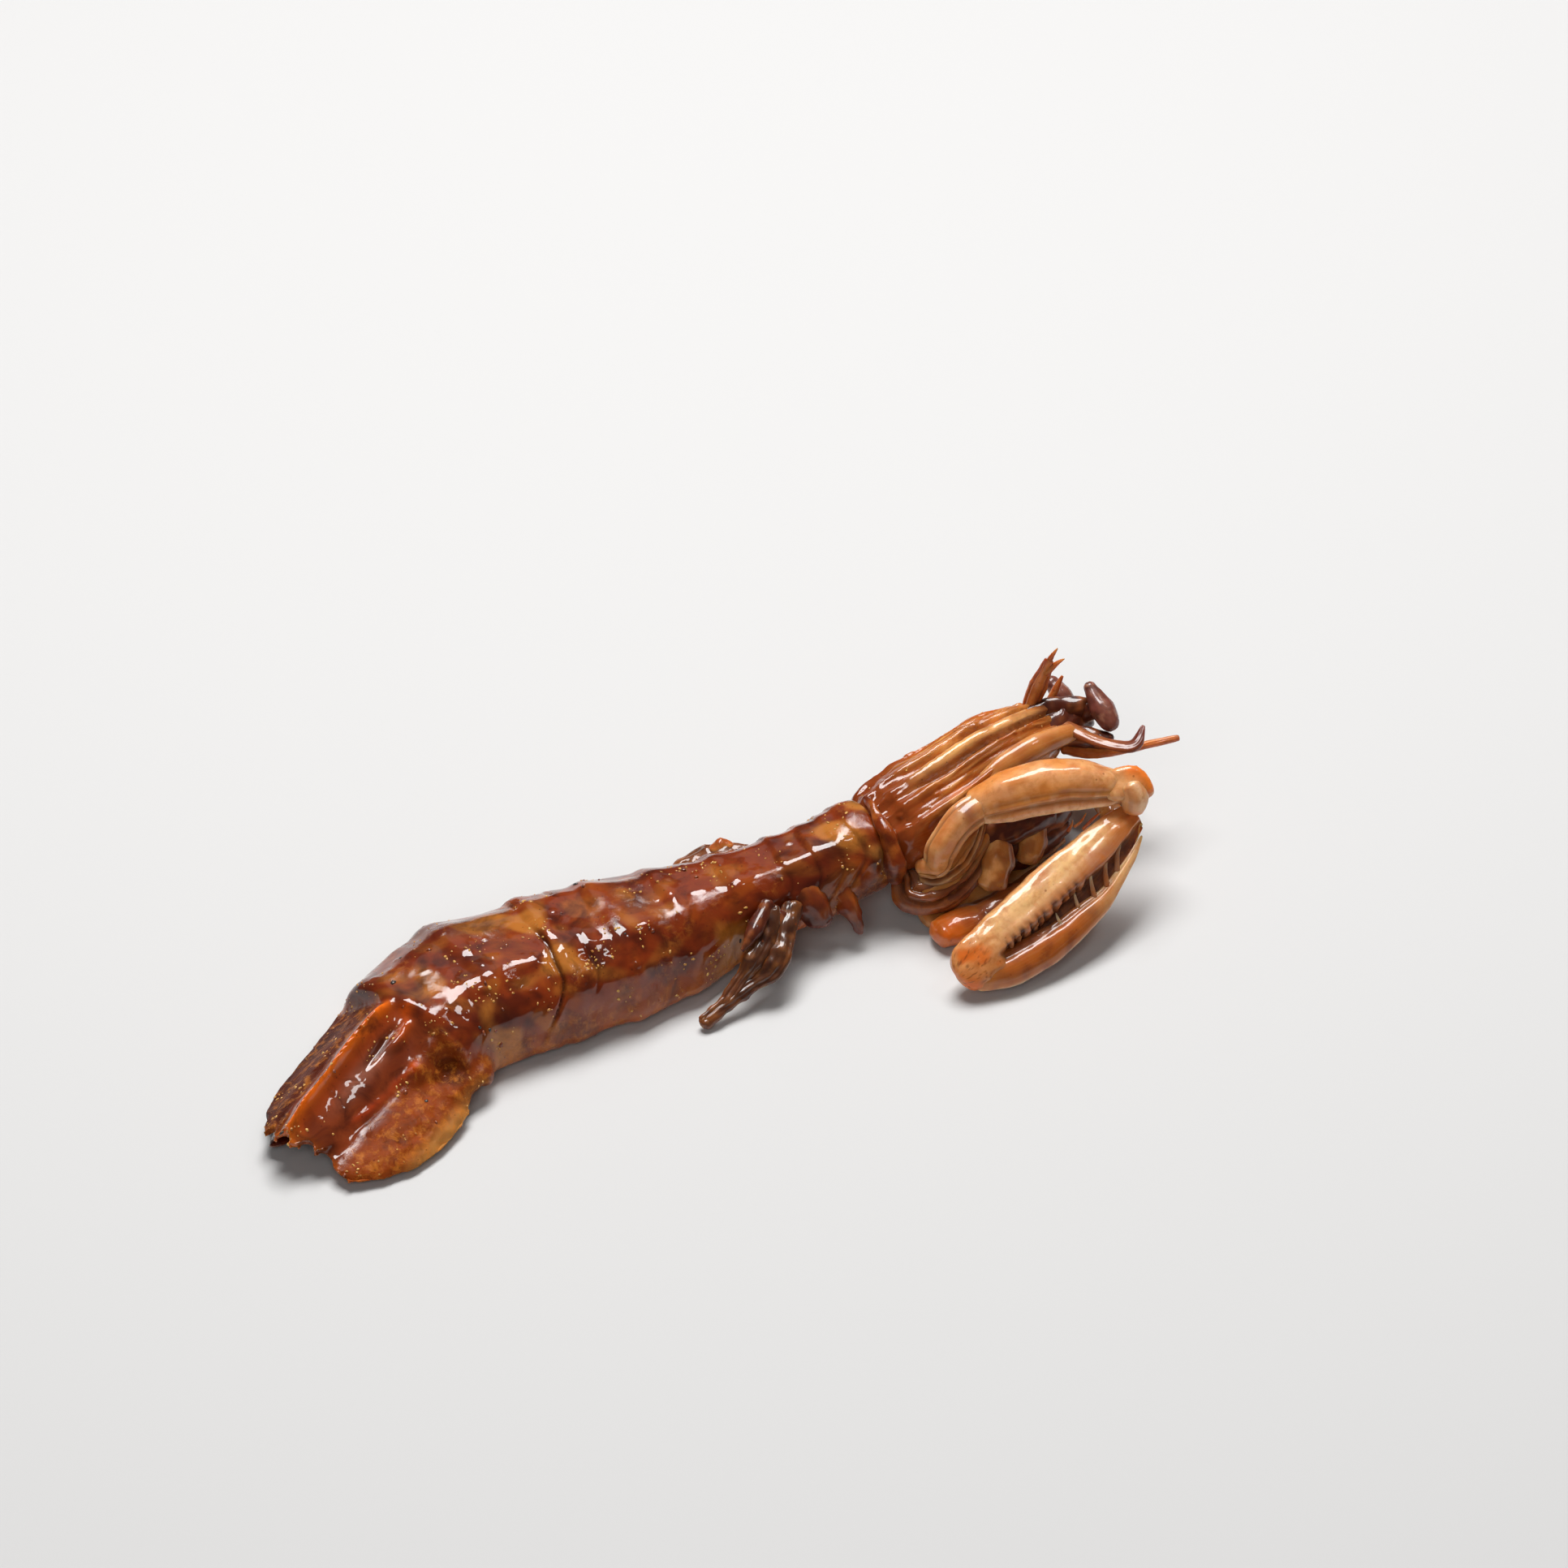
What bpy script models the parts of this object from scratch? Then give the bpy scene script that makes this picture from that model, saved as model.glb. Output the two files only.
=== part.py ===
"""A cooked mantis shrimp, about 16 cm from tail to antenna, lying belly down with one claw opened.

Metres and +Z up once built; every length below is in millimetres. +X points to the head, -Y to the
animal's right side. The body is a row of armour rings. A thin joint parts each ring or limb article
from the next one, as the soft skin does between the shell plates.
"""

from math import cos, exp, pi, sin, sqrt

import bmesh
import bpy
from mathutils import Vector
from mathutils.geometry import interpolate_bezier

MM = 0.001
JOINT = 0.3

# Body ring stations: (x, y, half width, back height, belly height).
BODY = (
    (-46.5, -7.4, 11.4, 13.2, 0.0),
    (-34.0, -1.4, 12.8, 14.6, 0.0),
    (-19.5, -0.4, 12.6, 14.8, 0.0),
    (-6.0, 0.0, 11.8, 14.6, 0.0),
    (6.0, 0.4, 9.6, 14.4, 0.6),
    (16.0, 1.0, 7.3, 14.6, 3.0),
    (24.0, 1.4, 6.7, 15.0, 4.2),
    (32.0, 1.8, 7.0, 15.8, 4.8),
    (39.0, 2.8, 7.6, 17.0, 5.4),
)
# Where one ring ends and the next one starts, from the telson to the neck.
RINGS = (
    ("abdomen_segment_6", -45.5, -33.5),
    ("abdomen_segment_5", -33.5, -19.5),
    ("abdomen_segment_4", -19.5, -9.0),
    ("abdomen_segment_3", -9.0, 2.0),
    ("abdomen_segment_2", 2.0, 12.5),
    ("abdomen_segment_1", 12.5, 22.5),
    ("thorax_segment_8", 22.5, 27.5),
    ("thorax_segment_7", 27.5, 31.8),
    ("thorax_segment_6", 31.8, 35.6),
    ("thorax_segment_5", 35.6, 39.0),
)
RING_SIDES = 28
RING_CARINAE = (-0.86, -0.45, 0.45, 0.86)  # where the lengthwise ridges run, as a cosine of the ring's angle
CARINA_WIDTH = 0.09
SHOULDER = 0.44  # height of the widest line, as a share of the back's height
LIP = 0.6  # how far a ring's rear rim stands over the front of the ring behind it
CARINA = 0.45  # height of the lengthwise ridges on the rings

# Carapace stations: (x, y, half width, top, underside).
CARAPACE = (
    (39.3, 2.2, 8.0, 17.4, 5.4),
    (46.0, 3.6, 8.3, 19.2, 5.8),
    (56.0, 5.8, 7.6, 21.0, 8.0),
    (66.0, 8.2, 6.4, 22.0, 10.5),
    (72.5, 9.6, 4.8, 21.4, 12.0),
)

SHIELD_CARINAE = (-0.8, -0.38, 0.0, 0.38, 0.8)
SHIELD_CARINA = 0.9

# The tail fan has its own frame: its origin is the front end of the telson's median ridge.
FAN_ORIGIN = Vector((-46.8, -5.2, 13.6))
FAN_BACK = Vector((-0.838, -0.545, -0.19)).normalized()
FAN_RIGHT = Vector((0.545, -0.838, 0.0)).normalized()
FAN_UP = FAN_BACK.cross(FAN_RIGHT).normalized()
TELSON_LENGTH = 31.0
TELSON_HALF = 10.4
TELSON_THICK = 2.4
TELSON_SLOPE_RIGHT = 0.72
TELSON_SLOPE_LEFT = 0.95
TELSON_TEETH = ((0.17, 2.6), (0.52, 2.2), (0.84, 1.6))  # place across each half, and length
TELSON_TOOTH_WIDTH = 0.075
RIDGE_ROUND = 1.6  # how far from the median line the two slopes of the telson begin

UP = Vector((0.0, 0.0, 1.0))
# The way that the broad faces of the opened claw look: up, to the right and a little to the tail.
CLAW_FACING = Vector((-0.31, -0.70, 0.64)).normalized()

# The opened claw: its hinge end near the ground, and its wrist beside the head.
CLAW_HINGE = Vector((43.6, -24.6, 5.4))
CLAW_WRIST = Vector((77.4, -13.4, 15.4))
CLAW_LENGTH = (CLAW_WRIST - CLAW_HINGE).length
CLAW_ALONG = (CLAW_WRIST - CLAW_HINGE).normalized()
CLAW_OUT = CLAW_ALONG.cross(CLAW_FACING).normalized()
FINGER = ((-1.0, 5.8), (5.0, 6.4), (12.0, 7.3), (19.0, 7.8), (25.0, 7.4), (30.5, 5.8), (35.0, 4.2))
FINGER_WIDTHS = (2.2, 2.6, 2.3, 1.8, 1.3, 0.8, 0.4)
TEETH = 6
TEETH_FROM = 9.5
TEETH_STEP = 4.0

# The walking leg that hangs over the right flank.
LEG_HIP = ((20.4, -4.4, 10.4), (18.4, -8.4, 8.8))
LEG_OUTER = ((18.4, -8.4, 9.4), (14.0, -10.6, 8.2), (10.2, -12.6, 5.8), (6.0, -15.6, 3.2), (2.2, -18.7, 1.6))
LEG_INNER = ((18.8, -8.8, 8.2), (16.4, -11.6, 5.8), (12.4, -14.4, 3.8), (8.6, -17.2, 2.2))

# The eyes: two points on the stalk, three along the lobe that lies across it, and the size.
EYES = (
    (
        "eye_right",
        ((78.6, 7.6, 19.4), (80.8, 5.4, 21.8)),
        ((80.4, 8.4, 24.4), (80.9, 5.2, 22.2), (81.0, 2.8, 20.6)),
        2.1,
    ),
    (
        "eye_left",
        ((76.6, 11.0, 18.2), (77.8, 14.4, 18.8)),
        ((77.0, 16.2, 19.8), (77.8, 14.6, 18.8), (78.4, 13.0, 17.4)),
        1.7,
    ),
)

# Limb articles: name, finish, points on the middle line, half widths, thickness share, facing.
LIMBS = (
    (
        "head",
        "shell",
        ((71.5, 9.3, 17.0), (76.0, 9.2, 17.8), (79.4, 8.8, 18.4)),
        (4.3, 4.2, 2.6),
        0.92,
        UP,
    ),
    (
        "mouth_parts",
        "shell",
        ((46.0, 3.0, 4.4), (58.0, 5.0, 6.0), (71.0, 7.6, 9.4)),
        (3.6, 4.8, 4.6, 3.4),
        0.62,
        UP,
    ),
    (
        "antennule_left",
        "orange",
        ((70.6, 11.4, 20.4), (72.6, 11.3, 26.0), (74.6, 11.0, 31.4)),
        (1.2, 1.6, 0.5),
        0.5,
        UP,
    ),
    (
        "antenna_right",
        "orange",
        ((74.6, 5.4, 16.4), (79.5, 1.2, 16.4), (91.2, -0.6, 16.8)),
        (1.8, 0.9, 0.6),
        0.8,
        UP,
    ),
    (
        "antennal_scale_right",
        "orange",
        ((74.6, 5.4, 20.0), (78.6, 0.4, 19.4), (82.6, -2.4, 19.4), (85.2, -0.6, 21.2)),
        (1.3, 1.2, 1.2, 0.3),
        0.5,
        UP,
    ),
    (
        "claw_right_ischium",
        "pale",
        ((53.4, -5.4, 19.0), (48.6, -7.4, 17.2), (46.4, -7.8, 13.6), (48.4, -5.6, 10.4)),
        (2.2, 2.5, 2.3, 1.8),
        0.7,
        CLAW_FACING,
    ),
    (
        "claw_right_merus",
        "pale",
        ((54.8, -5.4, 19.2), (62.0, -7.2, 20.6), (69.0, -8.8, 20.8), (75.4, -10.6, 19.8)),
        (2.6, 4.2, 4.4, 3.5),
        0.6,
        CLAW_FACING,
    ),
    (
        "claw_right_carpus",
        "pale",
        ((76.2, -10.8, 19.8), (78.6, -11.5, 19.0), (79.6, -12.4, 17.0)),
        (3.3, 3.4, 2.7),
        0.72,
        CLAW_FACING,
    ),
    (
        "claw_left_merus",
        "pale",
        ((56.0, 13.2, 4.6), (66.0, 14.6, 5.0), (75.6, 12.4, 5.4)),
        (2.8, 3.8, 3.0),
        0.62,
        UP,
    ),
    (
        "claw_left_carpus",
        "pale",
        ((77.6, 10.6, 5.4), (80.8, 5.0, 5.4), (79.6, -1.4, 5.2)),
        (2.5, 2.8, 2.2),
        0.8,
        UP,
    ),
    (
        "claw_left_propodus",
        "pale",
        ((79.4, -3.6, 5.0), (60.0, -11.0, 3.2), (44.4, -13.6, 2.4)),
        (2.2, 2.8, 3.1, 2.8),
        0.72,
        UP,
    ),
    (
        "claw_left_dactyl",
        "pale",
        ((44.0, -8.6, 1.9), (58.0, -5.4, 1.9), (71.0, -0.6, 2.6)),
        (2.0, 1.9, 0.6),
        0.7,
        UP,
    ),
    (
        "maxilliped_right_1",
        "pale",
        ((43.8, -1.0, 8.6), (41.8, -6.4, 6.0), (46.4, -8.8, 6.2), (53.0, -8.2, 9.2), (58.4, -4.0, 13.4)),
        (2.2, 2.5, 2.5, 2.0, 1.2),
        0.7,
        CLAW_FACING,
    ),
    (
        "maxilliped_right_2",
        "pale",
        ((46.4, -2.0, 11.0), (45.6, -7.2, 10.0), (50.6, -8.0, 11.6), (55.6, -3.8, 15.2)),
        (1.4, 1.8, 1.7, 1.2),
        0.6,
        CLAW_FACING,
    ),
    (
        "maxilliped_plate_right_1",
        "pale",
        ((57.4, -8.6, 8.2), (59.6, -6.4, 10.6), (61.4, -1.6, 13.4)),
        (2.3, 2.8, 1.6),
        0.5,
        CLAW_FACING,
    ),
    (
        "maxilliped_plate_right_2",
        "pale",
        ((64.2, -6.4, 8.6), (66.2, -4.4, 12.0), (67.6, 0.6, 15.0)),
        (1.8, 2.4, 1.4),
        0.5,
        CLAW_FACING,
    ),
    (
        "leg_right_2",
        "shell",
        ((25.4, -3.4, 9.6), (26.2, -7.4, 8.0), (26.2, -8.4, 5.4)),
        (2.0, 2.3, 1.4),
        0.8,
        CLAW_FACING,
    ),
    (
        "leg_right_3",
        "shell",
        ((30.6, -3.6, 9.4), (31.8, -8.0, 7.0), (32.4, -9.6, 3.2)),
        (1.9, 1.8, 0.35),
        0.8,
        CLAW_FACING,
    ),
    (
        "leg_left_1",
        "shell",
        ((19.0, 7.0, 8.6), (17.0, 11.0, 5.6), (12.0, 15.0, 1.4)),
        (1.6, 1.4, 0.7),
        0.8,
        UP,
    ),
    (
        "leg_left_2",
        "shell",
        ((26.0, 6.4, 9.0), (25.0, 11.0, 5.8), (20.0, 15.4, 1.4)),
        (1.6, 1.4, 0.7),
        0.8,
        UP,
    ),
    (
        "leg_left_3",
        "shell",
        ((33.0, 7.0, 9.4), (32.4, 11.6, 6.0), (28.6, 16.0, 1.4)),
        (1.6, 1.4, 0.7),
        0.8,
        UP,
    ),
    (
        "pleopod_left",
        "shell",
        ((9.6, 8.4, 9.2), (15.6, 12.4, 10.2), (21.0, 8.6, 10.6)),
        (1.8, 2.6, 1.6),
        0.5,
        UP,
    ),
)
# The pieces that each limb article is seated against.
CARRIERS = {
    "head": ("carapace",),
    "mouth_parts": ("carapace", "thorax_segment_5"),
    "antennule_left": ("carapace", "head"),
    "antenna_right": ("carapace", "head"),
    "antennal_scale_right": ("carapace", "head", "antenna_right"),
    "claw_right_ischium": ("carapace",),
    "claw_right_merus": ("claw_right_ischium", "carapace"),
    "claw_right_carpus": ("claw_right_merus",),
    "claw_right_propodus": ("claw_right_carpus",),
    "claw_right_dactyl": ("claw_right_propodus",),
    "claw_left_merus": ("carapace", "mouth_parts"),
    "claw_left_carpus": ("claw_left_merus",),
    "claw_left_propodus": ("claw_left_carpus",),
    "claw_left_dactyl": ("claw_left_propodus", "mouth_parts"),
    "maxilliped_right_1": ("carapace", "mouth_parts", "claw_left_propodus"),
    "maxilliped_right_2": ("carapace", "maxilliped_right_1", "claw_right_ischium"),
    "maxilliped_plate_right_1": ("carapace", "mouth_parts", "maxilliped_right_1", "claw_left_propodus"),
    "maxilliped_plate_right_2": (
        "carapace",
        "mouth_parts",
        "maxilliped_plate_right_1",
        "claw_right_merus",
    ),
    "leg_right_1": ("thorax_segment_8", "abdomen_segment_1", "abdomen_segment_2"),
    "leg_right_2": ("thorax_segment_8", "thorax_segment_7", "leg_right_1"),
    "leg_right_3": ("thorax_segment_7", "thorax_segment_6", "leg_right_2"),
    "leg_left_1": ("abdomen_segment_1", "abdomen_segment_2", "thorax_segment_8"),
    "leg_left_2": ("thorax_segment_8", "thorax_segment_7", "abdomen_segment_1"),
    "leg_left_3": ("thorax_segment_7", "thorax_segment_6", "thorax_segment_5"),
    "pleopod_left": ("abdomen_segment_1", "abdomen_segment_2", "leg_left_1"),
    "telson": ("abdomen_segment_6",),
    "uropod_right": ("abdomen_segment_6", "telson"),
    "uropod_left": ("abdomen_segment_6", "telson"),
    "carapace": ("thorax_segment_5",),
    "eye_right": ("head", "carapace", "antennal_scale_right"),
    "eye_left": ("head", "carapace"),
}

SHELL = (0.23, 0.055, 0.02)
TAN = (0.58, 0.30, 0.13)
ORANGE = (0.70, 0.16, 0.02)
EYE = (0.06, 0.02, 0.03)


def clear_scene():
    for thing in list(bpy.data.objects):
        bpy.data.objects.remove(thing)


def finish(name, colour, roughness):
    """A plain glossy surface of one colour."""
    material = bpy.data.materials.new(name)
    material.use_nodes = True
    shader = material.node_tree.nodes["Principled BSDF"]
    shader.inputs["Base Color"].default_value = (*colour, 1.0)
    shader.inputs["Roughness"].default_value = roughness
    shader.inputs["Metallic"].default_value = 0.0
    return material


def smooth_path(points, steps):
    """Points on a smooth curve through the given ones, with the same number of steps to each span."""
    knots = [Vector(point) for point in points]
    path = [knots[0]]
    for index, (start, end) in enumerate(zip(knots, knots[1:])):
        before = knots[max(index - 1, 0)]
        after = knots[min(index + 2, len(knots) - 1)]
        leaving = start + (end - before) / 6
        arriving = end - (after - start) / 6
        path += interpolate_bezier(start, leaving, arriving, end, steps + 1)[1:]
    return path


def station(stations, x):
    """The values of a row of stations at x, smoothly blended between the two that x lies between."""
    index = 0
    while index < len(stations) - 2 and x > stations[index + 1][0]:
        index += 1
    here = stations[index]
    there = stations[index + 1]
    before = stations[max(index - 1, 0)]
    after = stations[min(index + 2, len(stations) - 1)]
    span = there[0] - here[0]
    share = (x - here[0]) / span
    values = []
    for column in range(1, len(here)):
        slope_in = (there[column] - before[column]) / (there[0] - before[0]) * span
        slope_out = (after[column] - here[column]) / (after[0] - here[0]) * span
        low = here[column]
        high = there[column]
        values.append(
            low * (2 * share**3 - 3 * share**2 + 1)
            + slope_in * (share**3 - 2 * share**2 + share)
            + high * (3 * share**2 - 2 * share**3)
            + slope_out * (share**3 - share**2)
        )
    return values


def signed_power(value, power):
    return abs(value) ** power * (1 if value >= 0 else -1)


def ridges(place, middles, width):
    """The height, from 0 to 1, of a row of rounded ridges."""
    return sum(exp(-(((place - middle) / width) ** 2)) for middle in middles)


def loft(name, material, rings):
    """A closed solid whose skin runs from ring to ring, with both ends closed by a flat face."""
    shape = bmesh.new()
    bmesh.ops.create_circle(shape, cap_ends=True, radius=1.0, segments=len(rings[0]))
    shape.faces.ensure_lookup_table()
    face = shape.faces[0]
    for vertex, point in zip(face.verts, rings[0]):
        vertex.co = point * MM
    start = face
    for points in rings[1:]:
        made = bmesh.ops.extrude_face_region(shape, geom=[face])["geom"]
        grown = next(part for part in made if isinstance(part, bmesh.types.BMFace))
        for vertex, point in zip(grown.verts, points):
            vertex.co = point * MM
        if face is not start:
            bmesh.ops.delete(shape, geom=[face], context="FACES_ONLY")
        face = grown
    bmesh.ops.recalc_face_normals(shape, faces=shape.faces[:])
    mesh = bpy.data.meshes.new(name)
    shape.to_mesh(mesh)
    shape.free()
    mesh.materials.append(material)
    mesh.shade_smooth()
    thing = bpy.data.objects.new(name, mesh)
    bpy.context.scene.collection.objects.link(thing)
    return thing


def fuse(pieces):
    """Joins overlapping pieces into the first one, which keeps its name."""
    body = pieces[0]
    helpers = bpy.data.collections.new(body.name + "_parts")
    bpy.context.scene.collection.children.link(helpers)
    for piece in pieces[1:]:
        bpy.context.scene.collection.objects.unlink(piece)
        helpers.objects.link(piece)
    union = body.modifiers.new("union", "BOOLEAN")
    union.operation = "UNION"
    union.operand_type = "COLLECTION"
    union.collection = helpers
    union.solver = "EXACT"
    graph = bpy.context.evaluated_depsgraph_get()
    joined = bpy.data.meshes.new_from_object(body.evaluated_get(graph))
    body.modifiers.remove(union)
    body.data = joined
    for piece in list(helpers.objects):
        bpy.data.objects.remove(piece)
    bpy.data.collections.remove(helpers)
    return body


def biggest_part(mesh):
    """Leaves only the biggest of a mesh's separate closed shells."""
    shape = bmesh.new()
    shape.from_mesh(mesh)
    waiting = set(shape.faces)
    shells = []
    while waiting:
        shell = [waiting.pop()]
        for face in shell:
            for edge in face.edges:
                for other in edge.link_faces:
                    if other in waiting:
                        waiting.remove(other)
                        shell.append(other)
        shells.append(shell)
    shells.sort(key=lambda shell: sum(face.calc_area() for face in shell))
    scraps = [face for shell in shells[:-1] for face in shell]
    bmesh.ops.delete(shape, geom=scraps, context="FACES")
    shape.to_mesh(mesh)
    shape.free()


def swollen_copy(thing):
    """A copy of a piece whose whole skin has moved out by the joint's gap."""
    shape = bmesh.new()
    shape.from_mesh(thing.data)
    shape.normal_update()
    moves = [vertex.normal * min(vertex.calc_shell_factor(), 2.0) * JOINT * MM for vertex in shape.verts]
    for vertex, move in zip(shape.verts, moves):
        vertex.co += move
    mesh = bpy.data.meshes.new("swollen")
    shape.to_mesh(mesh)
    shape.free()
    helper = bpy.data.objects.new("swollen", mesh)
    bpy.context.scene.collection.objects.link(helper)
    return helper


def seat(piece, carriers):
    """Cuts a piece back so that it meets each carrier with the joint's gap between them."""
    graph = bpy.context.evaluated_depsgraph_get()
    for carrier in carriers:
        helper = swollen_copy(carrier)
        cut = piece.modifiers.new("seat", "BOOLEAN")
        cut.operation = "DIFFERENCE"
        cut.object = helper
        cut.solver = "MANIFOLD"
        graph.update()
        trimmed = bpy.data.meshes.new_from_object(piece.evaluated_get(graph))
        piece.modifiers.remove(cut)
        piece.data = trimmed
        bpy.data.objects.remove(helper)
    biggest_part(piece.data)
    return piece


def oval(centre, across, upright, sides):
    """One ring: an ellipse on two half axes."""
    angles = [2 * pi * index / sides for index in range(sides)]
    return [centre + across * cos(angle) + upright * sin(angle) for angle in angles]


def dome(centre, across, upright, direction, bluntness, sides):
    """The shrinking rings of a rounded end, which stands out along the direction."""
    rings = []
    for lift in (0.65, 1.2):
        middle = centre + direction * across.length * bluntness * sin(lift)
        rings.append(oval(middle, across * cos(lift), upright * cos(lift), sides))
    return rings


def limb(name, material, points, widths, thickness, facing, sides=9, steps=2, ends=(0.5, 0.5)):
    """A limb article: an oval tube along a smooth path, with rounded ends.

    widths are half widths at even steps along the path, thickness is the other half axis as a share
    of the width, facing is the way that the flat side looks, and ends say how blunt each end is.
    """
    path = smooth_path(points, steps)
    last = len(path) - 1
    rings = []
    for index, centre in enumerate(path):
        direction = (path[min(index + 1, last)] - path[max(index - 1, 0)]).normalized()
        place = index / last * (len(widths) - 1)
        low = min(int(place), len(widths) - 2)
        width = widths[low] + (widths[low + 1] - widths[low]) * (place - low)
        across = direction.cross(facing).normalized()
        upright = across.cross(direction)
        ring = (centre, across * width, upright * width * thickness, direction)
        rings.append(ring)
    tail_dome = dome(*rings[0], -ends[0], sides)
    head_dome = dome(*rings[-1], ends[1], sides)
    middle = [oval(centre, across, upright, sides) for centre, across, upright, _ in rings]
    return loft(name, material, tail_dome[::-1] + middle + head_dome)


def heading(stations, x):
    """The way to the head, in the ground plane, and the way to the right of it."""
    step = 0.5
    slope = (station(stations, x + step)[0] - station(stations, x - step)[0]) / (2 * step)
    forward = Vector((1.0, slope, 0.0)).normalized()
    return forward, Vector((forward.y, -forward.x, 0.0))


def body_ring(x, swell):
    """One D-shaped ring of the armour: a rounded back with low ridges, steep sides and a flat belly."""
    y, half, top, belly = station(BODY, x)
    belly = max(belly, 0.0)
    _, right = heading(BODY, x)
    shoulder = belly + (top - belly) * SHOULDER
    points = []
    for index in range(RING_SIDES):
        angle = 2 * pi * index / RING_SIDES
        sideways = signed_power(cos(angle), 0.86) * (half + swell)
        if sin(angle) >= 0:
            lift = abs(sin(angle)) ** 0.9 * (top - shoulder + swell)
            height = shoulder + lift + ridges(cos(angle), RING_CARINAE, CARINA_WIDTH) * CARINA
        else:
            tuck = 1 - 0.10 * abs(sin(angle)) ** 2
            sideways *= tuck
            height = max(belly, shoulder - 1.35 * (shoulder - belly) * abs(sin(angle)) ** 0.8)
        points.append(Vector((x, y, height)) + right * sideways)
    return points


def armour_ring(name, rear, front, material):
    """A tergite: low at its front edge, swelling to a rounded lip at its rear edge."""
    length = front - rear
    lip = LIP if name.startswith("abdomen") else LIP / 2
    profile = (
        (0.0, lip * 0.2),
        (0.05, lip),
        (0.17, lip),
        (0.32, 0.1),
        (0.80, 0.0),
        (1.0, -0.5),
    )
    inner = length - JOINT
    rings = [body_ring(rear + JOINT / 2 + inner * share, swell) for share, swell in profile]
    return loft(name, material, rings)


def carapace(material):
    """The head shield: a tapering hood with a median and two pairs of lateral ridges."""
    sides = 36
    rings = []
    rear = CARAPACE[0][0]
    front = CARAPACE[-1][0]
    steps = 9
    for step in range(steps + 1):
        x = rear + (front - rear) * step / steps
        y, half, top, under = station(CARAPACE, x)
        forward, right = heading(CARAPACE, x)
        waist = under + (top - under) * 0.5
        close = 0.80 if step == 0 else (0.86 if step == steps else 1.0)
        points = []
        for index in range(sides):
            angle = 2 * pi * index / sides
            sideways = signed_power(cos(angle), 0.85) * half * close
            if sin(angle) >= 0:
                ridge = ridges(cos(angle), SHIELD_CARINAE, CARINA_WIDTH) * SHIELD_CARINA
                height = waist + abs(sin(angle)) ** 0.9 * (top - waist) * close + ridge
            else:
                sideways *= 1 - 0.15 * abs(sin(angle)) ** 2
                height = waist - abs(sin(angle)) ** 0.8 * (waist - under) * close
            points.append(Vector((x, y, height)) + right * sideways)
        rings.append(points)
    return loft("carapace", material, rings)


def fan(back, right, up):
    """A place in the tail fan's frame."""
    return FAN_ORIGIN + FAN_BACK * back + FAN_RIGHT * right + FAN_UP * up


def beside_fan(back, right, height):
    """A place beside the telson, at a height over the ground."""
    place = FAN_ORIGIN + FAN_BACK * back + FAN_RIGHT * right
    place.z = height
    return place


def telson(material):
    """The tail plate: a median ridge, sloping sides and three pairs of marginal teeth."""
    stations = 28
    along = 6
    rings = []
    for index in range(stations + 1):
        place = -1 + 2 * index / stations
        across = place * TELSON_HALF
        side = abs(place)
        teeth = sum(high * ridges(side, (centre,), TELSON_TOOTH_WIDTH) for centre, high in TELSON_TEETH)
        length = TELSON_LENGTH * sqrt(max(0.0, 1 - 0.55 * side**2.6)) - 2.0 + teeth
        rim = 1 - side**6
        top = []
        bottom = []
        for step in range(along + 1):
            share = step / along
            back = length * share
            edge = min(1.0, (1 - share) * 5 + 0.25, share * 6 + 0.35)
            slope = TELSON_SLOPE_RIGHT if across > 0 else TELSON_SLOPE_LEFT
            droop = -slope * (sqrt(across**2 + RIDGE_ROUND**2) - RIDGE_ROUND) * (1 - 0.25 * share)
            ridge = 1.5 * exp(-((across / 1.1) ** 2)) * min(1.0, share * 6)
            swell = 0.8 * exp(-(((side - 0.45) / 0.25) ** 2)) * sin(pi * share)
            surface = droop + (ridge + swell) * edge - 0.9
            thick = TELSON_THICK * edge * (0.35 + 0.65 * rim)
            narrow = across * (1 - 0.10 * share)
            top.append(fan(back, narrow, surface))
            bottom.append(fan(back, narrow, surface - max(thick, 0.7)))
        rings.append(top + bottom[::-1])
    return loft("telson", material, rings)


def uropod(name, side, spread, material):
    """A tail paddle in one piece: its base, the broad outer blade and the narrower inner blade."""
    facing = (UP + FAN_RIGHT * 0.32 * side).normalized()

    def place(back, right, height):
        return beside_fan(back, side * (right + spread), height)

    base = limb(
        name,
        material,
        [place(-3.0, 14.8, 4.6), place(1.0, 14.6, 4.4), place(5.0, 13.8, 4.0)],
        (1.6, 2.4, 2.4),
        0.62,
        facing,
    )
    outer = limb(
        name + "_outer",
        material,
        [place(2.0, 14.2, 4.0), place(10.0, 13.6, 3.4), place(19.0, 12.6, 2.9), place(27.0, 9.4, 2.6)],
        (2.2, 4.4, 5.2, 5.2, 4.4, 2.6),
        0.22,
        facing,
        sides=12,
        ends=(0.5, 0.8),
    )
    inner = limb(
        name + "_inner",
        material,
        [place(4.0, 12.2, 3.6), place(14.0, 9.4, 3.0), place(25.0, 6.6, 2.3)],
        (1.6, 3.4, 3.2, 1.8),
        0.24,
        facing,
        ends=(0.5, 0.8),
    )
    return fuse([base, outer, inner])


def claw_place(along, outward):
    """A place in the opened right claw: along it from hinge to wrist, and outward from its palm."""
    return CLAW_HINGE + CLAW_ALONG * along + CLAW_OUT * outward


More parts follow.
